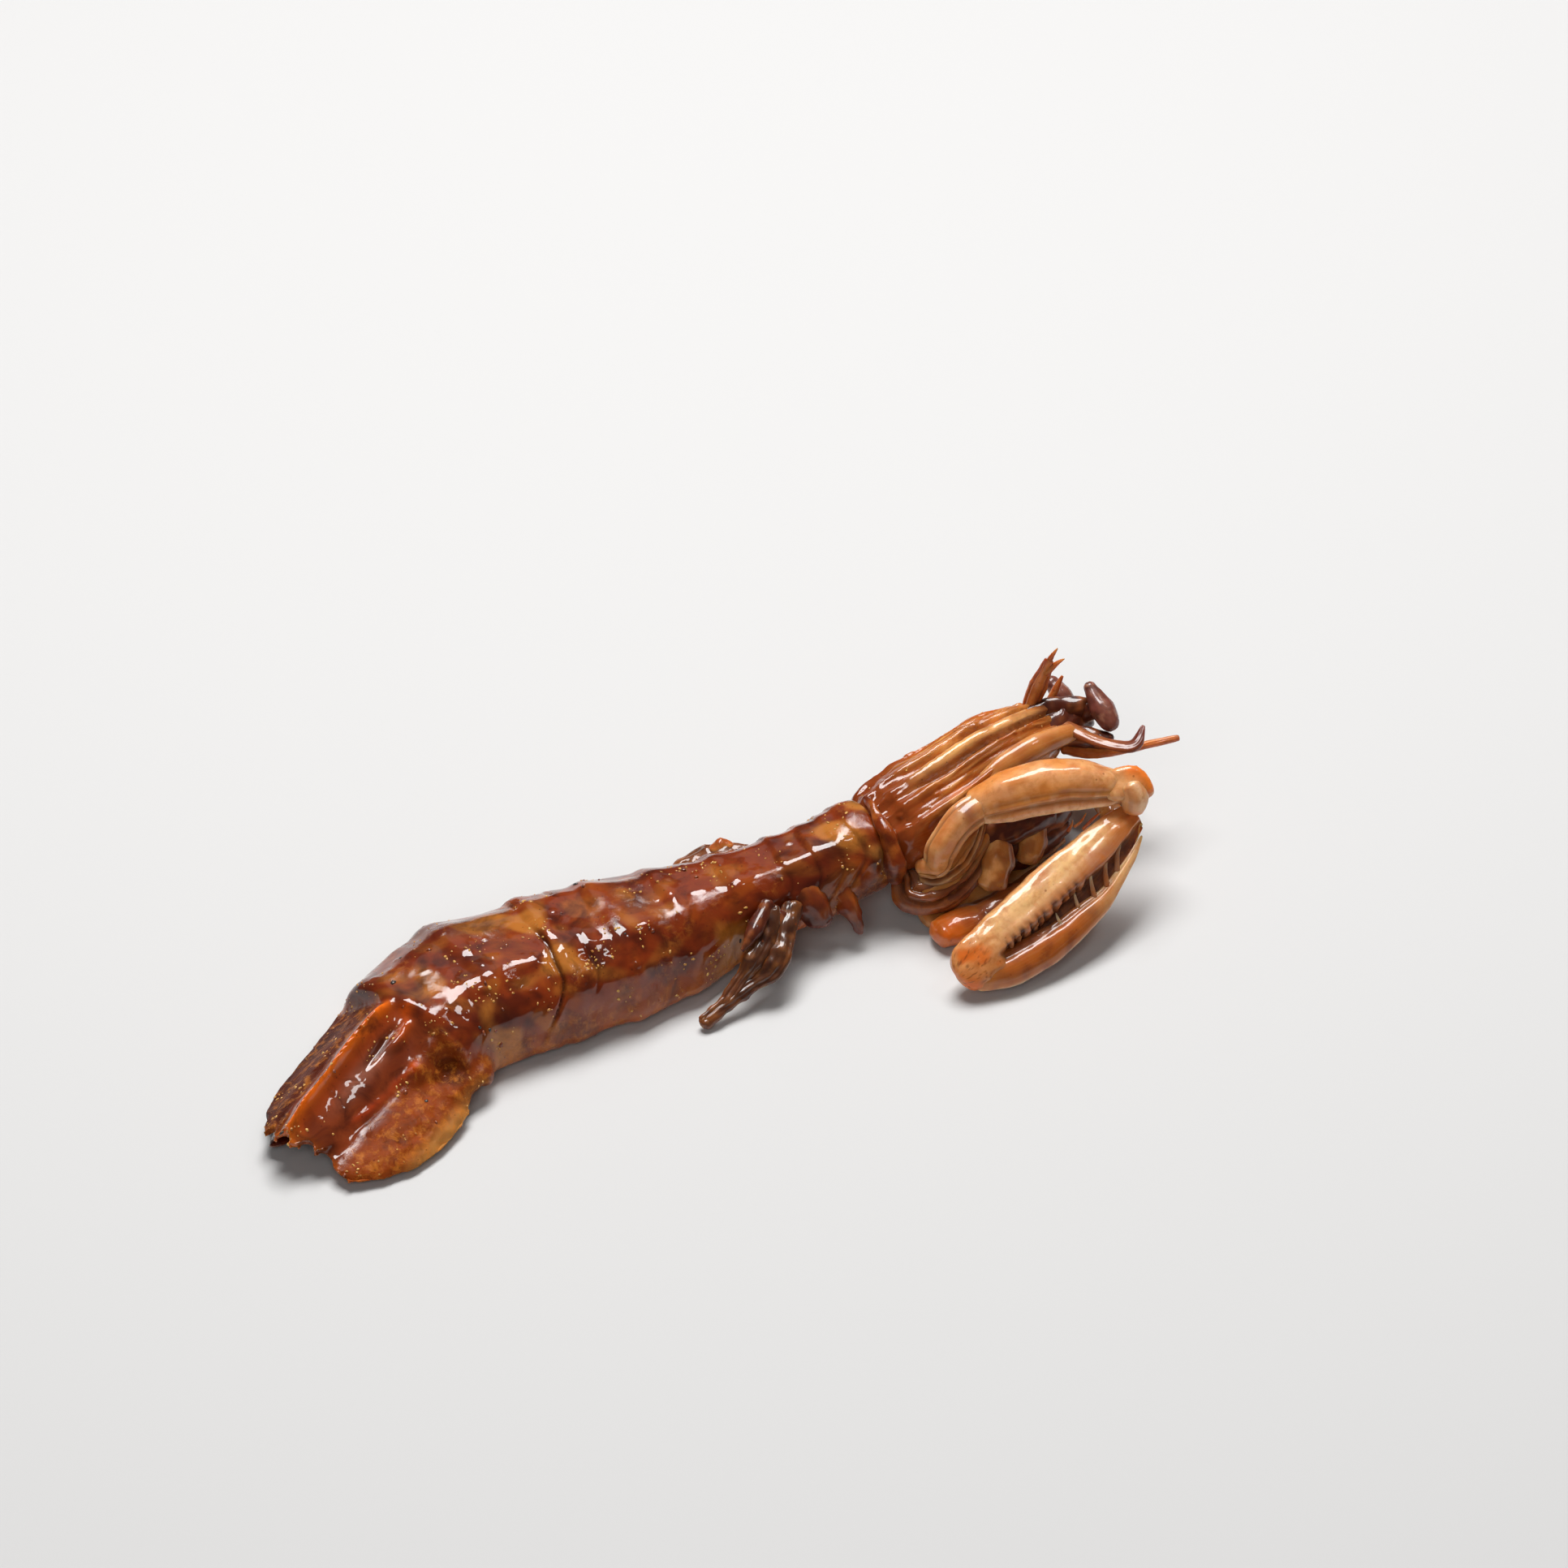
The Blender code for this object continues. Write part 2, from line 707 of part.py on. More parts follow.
def opened_claw(materials):
    """The right raptorial claw, folded out: the palm, and the toothed finger shut on its outer side."""
    palm_bow = ((0.0, 0.6), (0.3, 0.5), (0.65, 0.2), (1.0, 0.2))
    palm = limb(
        "claw_right_propodus",
        materials["pale"],
        [claw_place(share * CLAW_LENGTH, bow) for share, bow in palm_bow],
        (3.0, 3.9, 3.9, 3.6, 2.9, 1.9),
        0.62,
        CLAW_FACING,
        sides=14,
        steps=3,
        ends=(0.8, 0.4),
    )
    finger = limb(
        "claw_right_dactyl",
        materials["pale"],
        [claw_place(*spot) for spot in FINGER],
        FINGER_WIDTHS,
        0.62,
        CLAW_FACING,
        ends=(0.9, 1.6),
    )
    teeth = []
    for number in range(TEETH):
        along = TEETH_FROM + TEETH_STEP * number
        length = 3.4 - 0.25 * number
        root = 6.6 - 0.45 * max(0, number - 3)
        spots = ((0.0, 0.0), (0.9, 0.55), (2.4, 1.0))
        tooth = limb(
            "tooth_" + str(number),
            materials["pale"],
            [claw_place(along + ahead, root - length * share) for ahead, share in spots],
            (0.8, 0.55, 0.2),
            0.8,
            CLAW_FACING,
            sides=6,
            steps=1,
        )
        teeth.append(tooth)
    return [palm, fuse([finger] + teeth)]


def walking_leg(name, material):
    """The walking leg that hangs over the right flank: a hip with an inner and an outer branch."""
    hip = limb(name, material, LEG_HIP, (1.7, 1.8), 0.8, UP, sides=8)
    outer = limb(
        name + "_outer",
        material,
        LEG_OUTER,
        (1.2, 1.6, 1.5, 1.3, 1.0),
        0.55,
        CLAW_FACING,
        sides=8,
    )
    inner = limb(
        name + "_inner",
        material,
        LEG_INNER,
        (1.2, 1.3, 1.1, 0.8),
        0.6,
        CLAW_FACING,
        sides=8,
    )
    return fuse([hip, outer, inner])


def eye(name, material, stalk, lobe, size):
    """A stalked eye: the lobe of the eye lies across the end of its short stalk."""
    root = limb(name, material, stalk, (size * 0.6, size * 0.7), 1.0, UP, sides=8)
    widths = (size * 0.8, size * 1.05, size * 0.85)
    cap = limb(name + "_lobe", material, lobe, widths, 0.9, UP, sides=12, ends=(1, 1))
    return fuse([root, cap])


def bring_to_origin(things):
    """Moves the whole animal so that the middle of its box's underside is the origin."""
    corners = [vertex.co for thing in things for vertex in thing.data.vertices]
    lowest = [min(corner[axis] for corner in corners) for axis in range(3)]
    highest = [max(corner[axis] for corner in corners) for axis in range(3)]
    shift = Vector(((lowest[0] + highest[0]) / 2, (lowest[1] + highest[1]) / 2, lowest[2]))
    for thing in things:
        for vertex in thing.data.vertices:
            vertex.co -= shift
    print("moved by", [round(-value / MM, 3) for value in shift])
    size = [round((high - low) / MM, 1) for low, high in zip(lowest, highest)]
    print("size", size)


def build():
    clear_scene()
    finishes = {
        "shell": finish("sauced_shell", SHELL, 0.15),
        "pale": finish("boiled_claw_shell", TAN, 0.3),
        "orange": finish("boiled_horn", ORANGE, 0.3),
        "dark": finish("boiled_eye", EYE, 0.2),
    }
    shell = finishes["shell"]
    things = [armour_ring(name, rear, front, shell) for name, rear, front in RINGS]
    things.append(carapace(shell))
    things.append(telson(shell))
    things.append(uropod("uropod_right", 1, 0.0, shell))
    things.append(uropod("uropod_left", -1, -6.0, shell))
    things += [limb(name, finishes[tone], *shape) for name, tone, *shape in LIMBS]
    things += opened_claw(finishes)
    things.append(walking_leg("leg_right_1", shell))
    things += [eye(name, finishes["dark"], stalk, lobe, size) for name, stalk, lobe, size in EYES]
    by_name = {thing.name: thing for thing in things}
    for name, carriers in CARRIERS.items():
        seat(by_name[name], [by_name[carrier] for carrier in carriers])
    bring_to_origin(things)


build()
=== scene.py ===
# %% [markdown]
# # A cooked mantis shrimp under a soy glaze
# The animal lies on its belly, with its right claw opened beside the head. Its shape comes packed as plain
# solids in one fixed frame. This lesson dresses those solids: it lays a lumpy glaze over the armour, shapes
# the claws and mouth legs finely, and gives each surface the finish that boiled shell has.

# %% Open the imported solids
from math import atan2, cos, pi, sin

import bmesh
import bpy
import numpy as np
from mathutils import Matrix, Vector, noise
from mathutils.geometry import interpolate_bezier


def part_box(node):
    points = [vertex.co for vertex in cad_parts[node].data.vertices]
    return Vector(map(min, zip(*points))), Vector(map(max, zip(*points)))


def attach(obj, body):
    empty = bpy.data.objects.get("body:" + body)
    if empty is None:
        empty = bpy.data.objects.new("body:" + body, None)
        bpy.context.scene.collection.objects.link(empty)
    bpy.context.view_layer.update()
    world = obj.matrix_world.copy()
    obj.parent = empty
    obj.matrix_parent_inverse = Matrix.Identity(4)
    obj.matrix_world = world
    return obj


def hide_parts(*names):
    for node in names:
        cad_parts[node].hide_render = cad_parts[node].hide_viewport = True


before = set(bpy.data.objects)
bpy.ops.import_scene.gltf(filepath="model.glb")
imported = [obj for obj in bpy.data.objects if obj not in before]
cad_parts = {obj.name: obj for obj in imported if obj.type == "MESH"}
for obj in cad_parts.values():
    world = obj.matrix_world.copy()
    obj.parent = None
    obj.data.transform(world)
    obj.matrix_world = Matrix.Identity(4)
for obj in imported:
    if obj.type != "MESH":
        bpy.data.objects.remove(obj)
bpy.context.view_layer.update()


# %% [markdown]
# Lengths below are in millimetres, and one factor turns them to metres. The limbs' middle lines are written
# from the animal's own middle, which lies a little away from the frame's origin, so one step carries a
# place from there into the frame.

# %% Units and places
MM = 0.001
MIDDLE = Vector((-9.136, 6.336, 0.0))
UP = Vector((0.0, 0.0, 1.0))
FLOOR_GAP = 0.02  # nothing visible comes closer to the floor than this


def at(place):
    """A place measured from the animal's middle, carried into the frame, in millimetres."""
    return Vector(place) + MIDDLE


def link(name, data):
    """A new object at the origin that holds a mesh, a lamp or a camera."""
    thing = bpy.data.objects.new(name, data)
    bpy.context.scene.collection.objects.link(thing)
    return thing


def mesh_from(name, shape):
    """A new mesh from a bmesh, which is freed."""
    mesh = bpy.data.meshes.new(name)
    shape.to_mesh(mesh)
    shape.free()
    return mesh


def apply_modifiers(thing):
    """Turns the modified shape into the object's own mesh."""
    graph = bpy.context.evaluated_depsgraph_get()
    mesh = bpy.data.meshes.new_from_object(thing.evaluated_get(graph))
    thing.modifiers.clear()
    old = thing.data
    thing.data = mesh
    bpy.data.meshes.remove(old)
    return thing


def corners(thing):
    """The object's corners and their normals as two arrays, in millimetres."""
    count = len(thing.data.vertices)
    places = np.empty(count * 3, np.float32)
    normals = np.empty(count * 3, np.float32)
    thing.data.vertices.foreach_get("co", places)
    thing.data.vertices.foreach_get("normal", normals)
    return places.reshape(-1, 3).astype(float) / MM, normals.reshape(-1, 3).astype(float)


def place_corners(thing, places):
    """Moves every corner to its new place. Nothing may sink into the floor."""
    places = places.copy()
    places[:, 2] = np.maximum(places[:, 2], FLOOR_GAP)
    thing.data.vertices.foreach_set("co", (places * MM).astype(np.float32).ravel())
    thing.data.update()


# %% [markdown]
# A glaze is never even. Three-dimensional noise, read at every corner of a mesh, makes the lumps. One
# function reads it at a chosen size of lump. Soft steps and bells then say where on the animal it acts.

# %% Noise, steps and bells
def lumps(places, size, seed=0.0, stretch=(1.0, 1.0, 1.0)):
    """Smooth noise from -1 to 1 at each place. size is the width of a lump in millimetres."""
    scale = np.array(stretch) / size
    return np.fromiter(
        (noise.noise(Vector(spot) + Vector((seed, seed * 1.7, -seed))) for spot in places * scale),
        float,
        len(places),
    )


def step(values, low, high):
    """0 below low, 1 above high, with a smooth change between them."""
    share = np.clip((np.asarray(values, float) - low) / (high - low), 0.0, 1.0)
    return share * share * (3 - 2 * share)


def patches(places, size, seed, low, high):
    """Cloudy patches, from 0 where the noise is below low to 1 where it is above high."""
    return step(lumps(places, size, seed), low, high)


def bell(values, middle, width):
    """1 at the middle, falling to 0 about two widths away."""
    return np.exp(-(((np.asarray(values, float) - middle) / width) ** 2))


# %% [markdown]
# Colours are written as the hex values that a colour picker shows, and Cycles wants them linear. Broad
# changes of colour are painted on the corners as an attribute, so that they follow the shape. The nodes of
# a material add the fine ones.

# %% Colours and paint
def linear(text):
    """The linear colour of an sRGB hex value."""
    values = [int(text[index : index + 2], 16) / 255 for index in (1, 3, 5)]
    return [value / 12.92 if value <= 0.04045 else ((value + 0.055) / 1.055) ** 2.4 for value in values]


def paint(thing, ground, layers, crust=0.3):
    """Writes the tint attribute: the ground colour, then each layer's colour by its mask.

    Its fourth channel holds the crust, from 0 for smooth syrup to 1 for shell rough with spice.
    """
    colour = np.tile(linear(ground), (len(thing.data.vertices), 1))
    for mask, text in layers:
        share = np.clip(mask, 0.0, 1.0)[:, None]
        colour = colour * (1 - share) + np.array(linear(text)) * share
    tint = thing.data.attributes.get("tint") or thing.data.attributes.new("tint", "FLOAT_COLOR", "POINT")
    rows = np.hstack([colour, np.broadcast_to(np.asarray(crust, float), len(colour))[:, None]]).astype(np.float32)
    tint.data.foreach_set("color", rows.ravel())


# %% [markdown]
# ## Finishes
# One small function adds a node with its settings and its links. A few short ones name what the finishes do
# most often: noise of a given size, a share read from it, a colour laid over another, and a bump. Each finish
# below is named for the real stuff and how its surface came about.

# %% The add-node function
METRE = 1000.0  # noise scales are waves to the metre, so this over a size in millimetres is a scale


def connect(material, node, inputs):
    """Sets a node's inputs, each to a value or to another node's output."""
    for name, value in inputs.items():
        if isinstance(value, bpy.types.NodeSocket):
            material.node_tree.links.new(value, node.inputs[name])
        else:
            node.inputs[name].default_value = value


def add(material, kind, inputs=None, stops=(), **settings):
    """Adds a node. An input is a value or another node's output; stops are a colour ramp's two ends."""
    node = material.node_tree.nodes.new("ShaderNode" + kind)
    for name, value in settings.items():
        setattr(node, name, value)
    connect(material, node, inputs or {})
    for index, (position, value) in enumerate(stops):
        node.color_ramp.elements[index].position = position
        grey = (value, value, value)
        node.color_ramp.elements[index].color = (*(linear(value) if isinstance(value, str) else grey), 1.0)
    return node


def blank(name):
    """A new material and its shader."""
    material = bpy.data.materials.new(name)
    material.use_nodes = True
    return material, material.node_tree.nodes["Principled BSDF"]


def cloud(material, place, size, detail, roughness=0.5, distortion=0.0):
    """Noise over a place. size is the width of a wave in millimetres."""
    inputs = {"Vector": place, "Scale": METRE / size, "Detail": detail, "Roughness": roughness}
    return add(material, "TexNoise", {**inputs, "Distortion": distortion}).outputs["Fac"]


def ramp(material, value, *stops):
    """The share or colour that a ramp gives a value, from its two (position, value) ends."""
    return add(material, "ValToRGB", {"Fac": value}, stops).outputs["Color"]


def dots(material, place, size, *stops):
    """The share of round dots. size is the distance between them in millimetres."""
    cells = add(material, "TexVoronoi", {"Vector": place, "Scale": METRE / size, "Randomness": 1.0})
    return ramp(material, cells.outputs["Distance"], *stops)


def remap(material, value, given, wanted):
    """A value carried from one range to another."""
    inputs = {"Value": value, "From Min": given[0], "From Max": given[1], "To Min": wanted[0], "To Max": wanted[1]}
    return add(material, "MapRange", inputs).outputs["Result"]


def product(material, first, second):
    """Two values multiplied."""
    return add(material, "Math", {0: first, 1: second}, operation="MULTIPLY").outputs["Value"]


def over(material, share, under, text):
    """The colour under, changed by a share to the hex colour in text."""
    return add(material, "Mix", {0: share, 6: under, 7: (*linear(text), 1.0)}, data_type="RGBA").outputs[2]


def bump(material, height, strength, depth, **under):
    """A bump over the one under it, if any. depth is in millimetres."""
    inputs = {"Height": height, "Strength": strength, "Distance": depth * MM, **under}
    return add(material, "Bump", inputs).outputs["Normal"]


# %% [markdown]
# ### Boiled shell under a reduced soy glaze
# The shell is opaque and rough after boiling. The glaze over it is a thick brown syrup: clear enough to let
# the shell's orange glow through where it is thin, nearly black where it is deep, and wet on top. A coat
# makes the wet top, a little subsurface light makes the syrup's depth, and three noises vary its colour:
# pools of 6 mm, mottling of 1.8 mm, and dots of spice dust 1.5 mm apart. Where the painted crust is strong,
# the film is thin, so the coat fades and roughens.

# %% Glazed shell
SYRUP_BUMP = 0.16
SYRUP_ROUGHNESS = 0.035


def glazed_shell(name, deep, thin, mottle, streak_turn=None):
    """A painted shell under glaze. deep and thin are the colours that the glaze shifts it to.

    With streak_turn, the mottling is drawn out into fibres that run at that angle from the x axis.
    """
    material, shader = blank(name)
    place = add(material, "TexCoord").outputs["Object"]
    mottling_place = place
    if streak_turn is not None:
        turned = add(material, "Mapping", {"Vector": place, "Rotation": (0.0, 0.0, -streak_turn)})
        drawn = {"Vector": turned.outputs["Vector"], "Scale": (0.10, 2.2, 1.2)}
        mottling_place = add(material, "Mapping", drawn).outputs["Vector"]
    painted = add(material, "Attribute", attribute_name="tint")
    crust = painted.outputs["Alpha"]
    pools = ramp(material, cloud(material, place, 6.0, 4.0, 0.6, 0.8), (0.46, 0.0), (0.68, mottle))
    pooled = over(material, pools, painted.outputs["Color"], deep)
    mottling = cloud(material, mottling_place, 1.8, 6.0, 0.72, 0.4)
    crusty = remap(material, crust, (0.0, 1.0), (0.0, 1.3))
    thin_here = product(material, ramp(material, mottling, (0.50, 0.0), (0.72, mottle)), crusty)
    mottled = over(material, thin_here, pooled, thin)
    dusted = over(material, dots(material, place, 1.5, (0.03, 0.6), (0.13, 0.0)), mottled, "#2a0f07")
    wet_skin = bump(material, cloud(material, place, 3.0, 2.0, 0.45), 0.5, SYRUP_BUMP)
    rough_shell = bump(material, product(material, mottling, crusty), 0.6, 2.0 * SYRUP_BUMP, Normal=wet_skin)
    settings = {
        "Base Color": dusted,
        "Normal": rough_shell,
        "Coat Normal": rough_shell,
        "Roughness": 0.45,
        "IOR": 1.45,
        "Specular IOR Level": 0.05,
        "Coat Roughness": remap(material, crust, (0.8, 1.6), (SYRUP_ROUGHNESS, 0.30)),
        "Coat Weight": remap(material, crust, (0.8, 1.6), (1.0, 0.05)),
        "Coat IOR": 1.5,
        "Subsurface Weight": 0.25,
        "Subsurface Radius": (1.0, 0.35, 0.12),
        "Subsurface Scale": 1.2 * MM,
    }
    connect(material, shader, settings)
    return material


SOY_GLAZED_SHELL = glazed_shell("soy_glazed_shell", "#300c04", "#c4742a", 0.7)
SHIELD_TURN = atan2(7.4, 33.2)
SOY_GLAZED_SHIELD = glazed_shell("soy_glazed_shield", "#7c340c", "#f0b468", 0.6, SHIELD_TURN)
print("finishes:", SOY_GLAZED_SHELL.name, SOY_GLAZED_SHIELD.name)

# %% [markdown]
# ### Boiled claw shell
# The claws and mouth legs stood clear of the glaze: their shell shows tan and cream, thin and slightly
# translucent. Brown juice lies on it in clouds of 3.5 mm and in fine specks, small brown dots are strewn over
# it, and faint fibres run along each article. The fibres read the piece's own UV map, which holds
# millimetres along and around the article.

# %% Claw shell
def boiled_shell(name, stain, glow, stain_show=0.45, fibre_mm=0.35, fibre_show=0.06, coat_roughness=0.05):
    """A painted, thin boiled shell. stain is the juice in its hollows, glow its paler bloom."""
    material, shader = blank(name)
    place = add(material, "TexCoord").outputs["Object"]
    along = add(material, "UVMap", uv_map="article").outputs["UV"]
    tint = add(material, "Attribute", attribute_name="tint").outputs["Color"]
    lengthwise = add(material, "Mapping", {"Vector": along, "Scale": (0.12, 1.0 / fibre_mm, 1.0)})
    fibre_inputs = {"Vector": lengthwise.outputs["Vector"], "Scale": 1.0, "Detail": 3.0, "Roughness": 0.6}
    fibres = add(material, "TexNoise", fibre_inputs, noise_dimensions="2D").outputs["Fac"]
    stains = ramp(material, cloud(material, place, 3.5, 5.0, 0.65, 0.5), (0.48, 0.0), (0.70, stain_show))
    stained = over(material, stains, tint, stain)
    streaked = over(material, ramp(material, fibres, (0.45, 0.0), (0.75, fibre_show)), stained, glow)
    fine = cloud(material, place, 0.9, 4.0, 0.6)
    specked = over(material, ramp(material, fine, (0.48, 0.0), (0.68, 0.5 * stain_show)), streaked, stain)
    dotted = over(material, dots(material, place, 2.2, (0.05, 0.6), (0.11, 0.0)), specked, "#8a4018")
    ribbed = bump(material, fibres, fibre_show, 0.10)
    pitted = bump(material, fine, 0.3, 0.05, Normal=ribbed)
    settings = {
        "Base Color": dotted,
        "Normal": pitted,
        "Coat Normal": pitted,
        "Roughness": 0.4,
        "IOR": 1.5,
        "Specular IOR Level": 0.2,
        "Coat Weight": 0.8,
        "Coat Roughness": coat_roughness,
        "Subsurface Weight": 0.5,
        "Subsurface Radius": (1.0, 0.45, 0.2),
        "Subsurface Scale": 2.0 * MM,
    }
    connect(material, shader, settings)
    return material


BOILED_CLAW_SHELL = boiled_shell("boiled_claw_shell", "#b8641e", "#f6d8ae", stain_show=0.6, fibre_show=0.05)
GLAZED_LEG_SHELL = boiled_shell("glazed_leg_shell", "#3a150b", "#93562c", fibre_mm=0.6, fibre_show=0.08)
BOILED_HORN = boiled_shell("boiled_horn", "#7a2c10", "#f0a860", fibre_mm=0.25)
BOILED_EYE = boiled_shell("boiled_eye", "#2c1210", "#8a5648", fibre_mm=0.5, coat_roughness=0.15)

# %% [markdown]
# ## The armour under the glaze
# The solids give the animal's form as separate rings with thin joints. On the dish the glaze has run over
# those joints, and only a few still show. So the rings' copies are swollen a little until they meet, and a
# voxel remesh makes one even skin of them. Even, small faces are what the lumps need.

# %% One even skin from several solids
def relax(thing, rounds, group=""):
    """Draws each corner toward its neighbours, and by its weight where a vertex group is named."""
    soften = thing.modifiers.new("soften", "SMOOTH")
    soften.factor = 0.5
    soften.iterations = rounds
    soften.vertex_group = group
    apply_modifiers(thing)


def skin(name, nodes, voxel, fill=0.8, smoothing=8, glaze=0.0, calm=None, pads=()):
    """One even mesh round copies of the named solids, with the crevices between them filled.

    voxel, fill and glaze are in millimetres. The copies swell by fill, melt together, and the skin draws
    back by as much, less the glaze: what lay closer than two fills stays closed, as syrup would leave it.
    calm gives, from the places, the share by which the steps between the solids are smoothed away.
    Each pad is a lump of syrup: its middle and its radius in millimetres.
    """
    shape = bmesh.new()
    for node in nodes:
        shape.from_mesh(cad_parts[node].data)
    bmesh.ops.remove_doubles(shape, verts=shape.verts[:], dist=0.001 * MM)
    shape.normal_update()
    moves = [vertex.normal * min(vertex.calc_shell_factor(), 1.5) * fill * MM for vertex in shape.verts]
    for vertex, move in zip(shape.verts, moves):
        vertex.co += move
    for place, radius in pads:
        spot = Matrix.Translation(at(place) * MM)
        bmesh.ops.create_icosphere(shape, subdivisions=3, radius=radius * MM, matrix=spot)
    thing = link(name, mesh_from(name, shape))
    remesh = thing.modifiers.new("even_faces", "REMESH")
    remesh.mode = "VOXEL"
    remesh.voxel_size = voxel * MM
    relax(thing, smoothing)
    keep_biggest_shell(thing)
    places, normals = corners(thing)
    if calm:
        group = thing.vertex_groups.new(name="calm")
        for corner, weight in enumerate(calm(places)):
            group.add((corner,), float(weight), "REPLACE")
        relax(thing, 60, "calm")
        thing.vertex_groups.clear()
        places, normals = corners(thing)
    place_corners(thing, places + normals * (glaze - fill))
    relax(thing, 3)
    thing.data.shade_smooth()
    return thing


def keep_biggest_shell(thing):
    """Drops the closed shells that a remesh leaves inside a form."""
    shape = bmesh.new()
    shape.from_mesh(thing.data)
    waiting = set(shape.verts)
    shells = []
    while waiting:
        front = [waiting.pop()]
        shell = list(front)
        while front:
            grown = []
            for vertex in front:
                for edge in vertex.link_edges:
                    other = edge.other_vert(vertex)
                    if other in waiting:
                        waiting.remove(other)
                        grown.append(other)
            shell += grown
            front = grown
        shells.append(shell)
    shells.sort(key=len)
    stray = [vertex for shell in shells[:-1] for vertex in shell]
    if stray:
        bmesh.ops.delete(shape, geom=stray, context="VERTS")
        shape.to_mesh(thing.data)
    shape.free()


def finish_piece(thing, material, nodes):
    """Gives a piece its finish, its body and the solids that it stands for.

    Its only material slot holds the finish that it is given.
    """
    thing.data.materials.clear()
    thing.data.materials.append(material)
    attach(thing, "root")
    if nodes:
        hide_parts(*nodes)
    thing.data.calc_loop_triangles()
    print(thing.name, len(thing.data.loop_triangles), "triangles")


# %% [markdown]
# The rings' boxes give the line of the body: its middle, its width and its height at each ring. With that
# line each corner gets three numbers of its own: how far along the body it is, how far round, and how high.

# %% The line of the body
ABDOMEN_NODES = ["abdomen_segment_" + str(number) for number in range(6, 0, -1)]
THORAX_NODES = ["thorax_segment_" + str(number) for number in range(8, 4, -1)]
RING_NODES = (*ABDOMEN_NODES, *THORAX_NODES)
ring_boxes = [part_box(name) for name in RING_NODES]
ring_x = np.array([(low.x + high.x) / 2 / MM for low, high in ring_boxes])
ring_y = np.array([(low.y + high.y) / 2 / MM for low, high in ring_boxes])
ring_half = np.array([(high.y - low.y) / 2 / MM for low, high in ring_boxes])
ring_top = np.array([high.z / MM for low, high in ring_boxes])
ring_low = np.array([low.z / MM for low, high in ring_boxes])
ring_joints = np.array([low.x / MM for low, high in ring_boxes[1:]])
print("joints at x", [round(value, 1) for value in ring_joints])


def along_body(places):
    """For each place: x straightened along the body, the angle round it from the right side, the height share."""
    x = places[:, 0].copy()
    for _ in range(3):
        slope = np.interp(x + 1, ring_x, ring_y) - np.interp(x - 1, ring_x, ring_y)
        lean = np.arctan2(slope, 2.0)
        sideways = (np.interp(x, ring_x, ring_y) - places[:, 1]) / np.cos(lean)
        x = places[:, 0] - np.sin(lean) * sideways
    half = np.interp(x, ring_x, ring_half)
    top = np.interp(x, ring_x, ring_top)
    low = np.interp(x, ring_x, ring_low)
    height = (places[:, 2] - low) / (top - low)
    angle = np.arctan2((height - 0.44) / 0.56, sideways / half)
    return x, angle, height


# %% [markdown]
# ### The tail fan's own directions
# The fan leans, so its own three directions are worked out once, and each corner is measured along them.


# %% The tail fan's own directions
FAN_ORIGIN = at((-46.8, -5.2, 13.6))
FAN_BACK = Vector((-0.838, -0.545, -0.19)).normalized()
FAN_RIGHT = Vector((0.545, -0.838, 0.0)).normalized()
FAN_UP = FAN_BACK.cross(FAN_RIGHT).normalized()
TELSON_LENGTH = 31.0


def in_fan(places):
    """For each place: how far back along the telson, how far to its right, and how high."""
    away = places - np.array(FAN_ORIGIN)
    return away @ np.array(FAN_BACK), away @ np.array(FAN_RIGHT), away @ np.array(FAN_UP)


# %% [markdown]
# ### Body and tail in one glazed skin
# The glaze pools in the joints and hangs in lumps. Two joints near the tail still show as dark cuts on the
# right flank, and the others are faint. The telson's median ridge shows bright orange through a thin film.
# Its near slope carries smooth thick syrup with a painted highlight: a paler patch that stands in for a soft
# reflection. Its far slope and the right paddle are dull, and the far slope is also painted darker as painted shade.
# Four pads of syrup fill the corner between the telson, the paddle and the last rings. One skin holds the rings,
# the telson and the right paddle, because the syrup runs over them without a break.

# %% Glaze, rims and cuts
def glaze_lumps(places, seed, big=0.55, small=0.15, fine=0.015):
    """How far the glaze stands out: slow swells along the body, lumps, and a few round pimples."""
    swell = lumps(places, 7.0, seed, (0.6, 1.0, 1.0)) * big
    lump = lumps(places, 3.2, seed + 9, (0.7, 1.0, 1.0)) * small
    pimples = patches(places, 1.8, seed + 31, 0.45, 0.72) * small
    return swell + lump + lumps(places, 1.1, seed + 17) * fine + pimples


# Each joint: how far the syrup has carried its line back, how far its rim stands, how deep its cut is,
# and the part of the way round that the cut has.
JOINTS = (
    (0.0, 0.15, 0.15, 0.3, 1.1),
    (0.0, 0.45, 0.70, 0.1, 1.5),
    (4.6, 0.20, 0.45, 0.5, 1.1),
    (2.0, 0.10, 0.00, 0.2, 0.9),
    (0.0, 0.12, 0.05, 0.0, 0.9),
    (0.0, 0.30, 0.25, -0.3, 0.8),
    (0.0, 0.30, 0.35, -0.4, 1.0),
    (0.0, 0.25, 0.30, -0.4, 0.8),
    (0.0, 0.30, 0.40, -0.4, 1.2),
)


def joint_forms(x, angle):
    """At each place: how far a rim stands out, and how much of an open cut there is."""
    rim = np.zeros(len(x))
    cut = np.zeros(len(x))
    for joint, (carried, stand, depth, low, high) in zip(ring_joints, JOINTS):
        ahead = x - joint + carried
        rim += stand * step(ahead, -0.5, 0.5) * np.exp(-np.maximum(ahead, 0.0) / 2.6)
        shown = step(angle, low - 0.25, low + 0.1) * (1 - step(angle, high - 0.2, high + 0.3))
        on_far_side = 0.4 * (np.abs(angle) > 2.1)
        cut = np.maximum(cut, bell(ahead, 0.0, 0.30) * depth * np.maximum(shown, on_far_side))
    return rim, cut


# %% Body and tail
BODY_NODES = (*RING_NODES, "telson", "uropod_right")


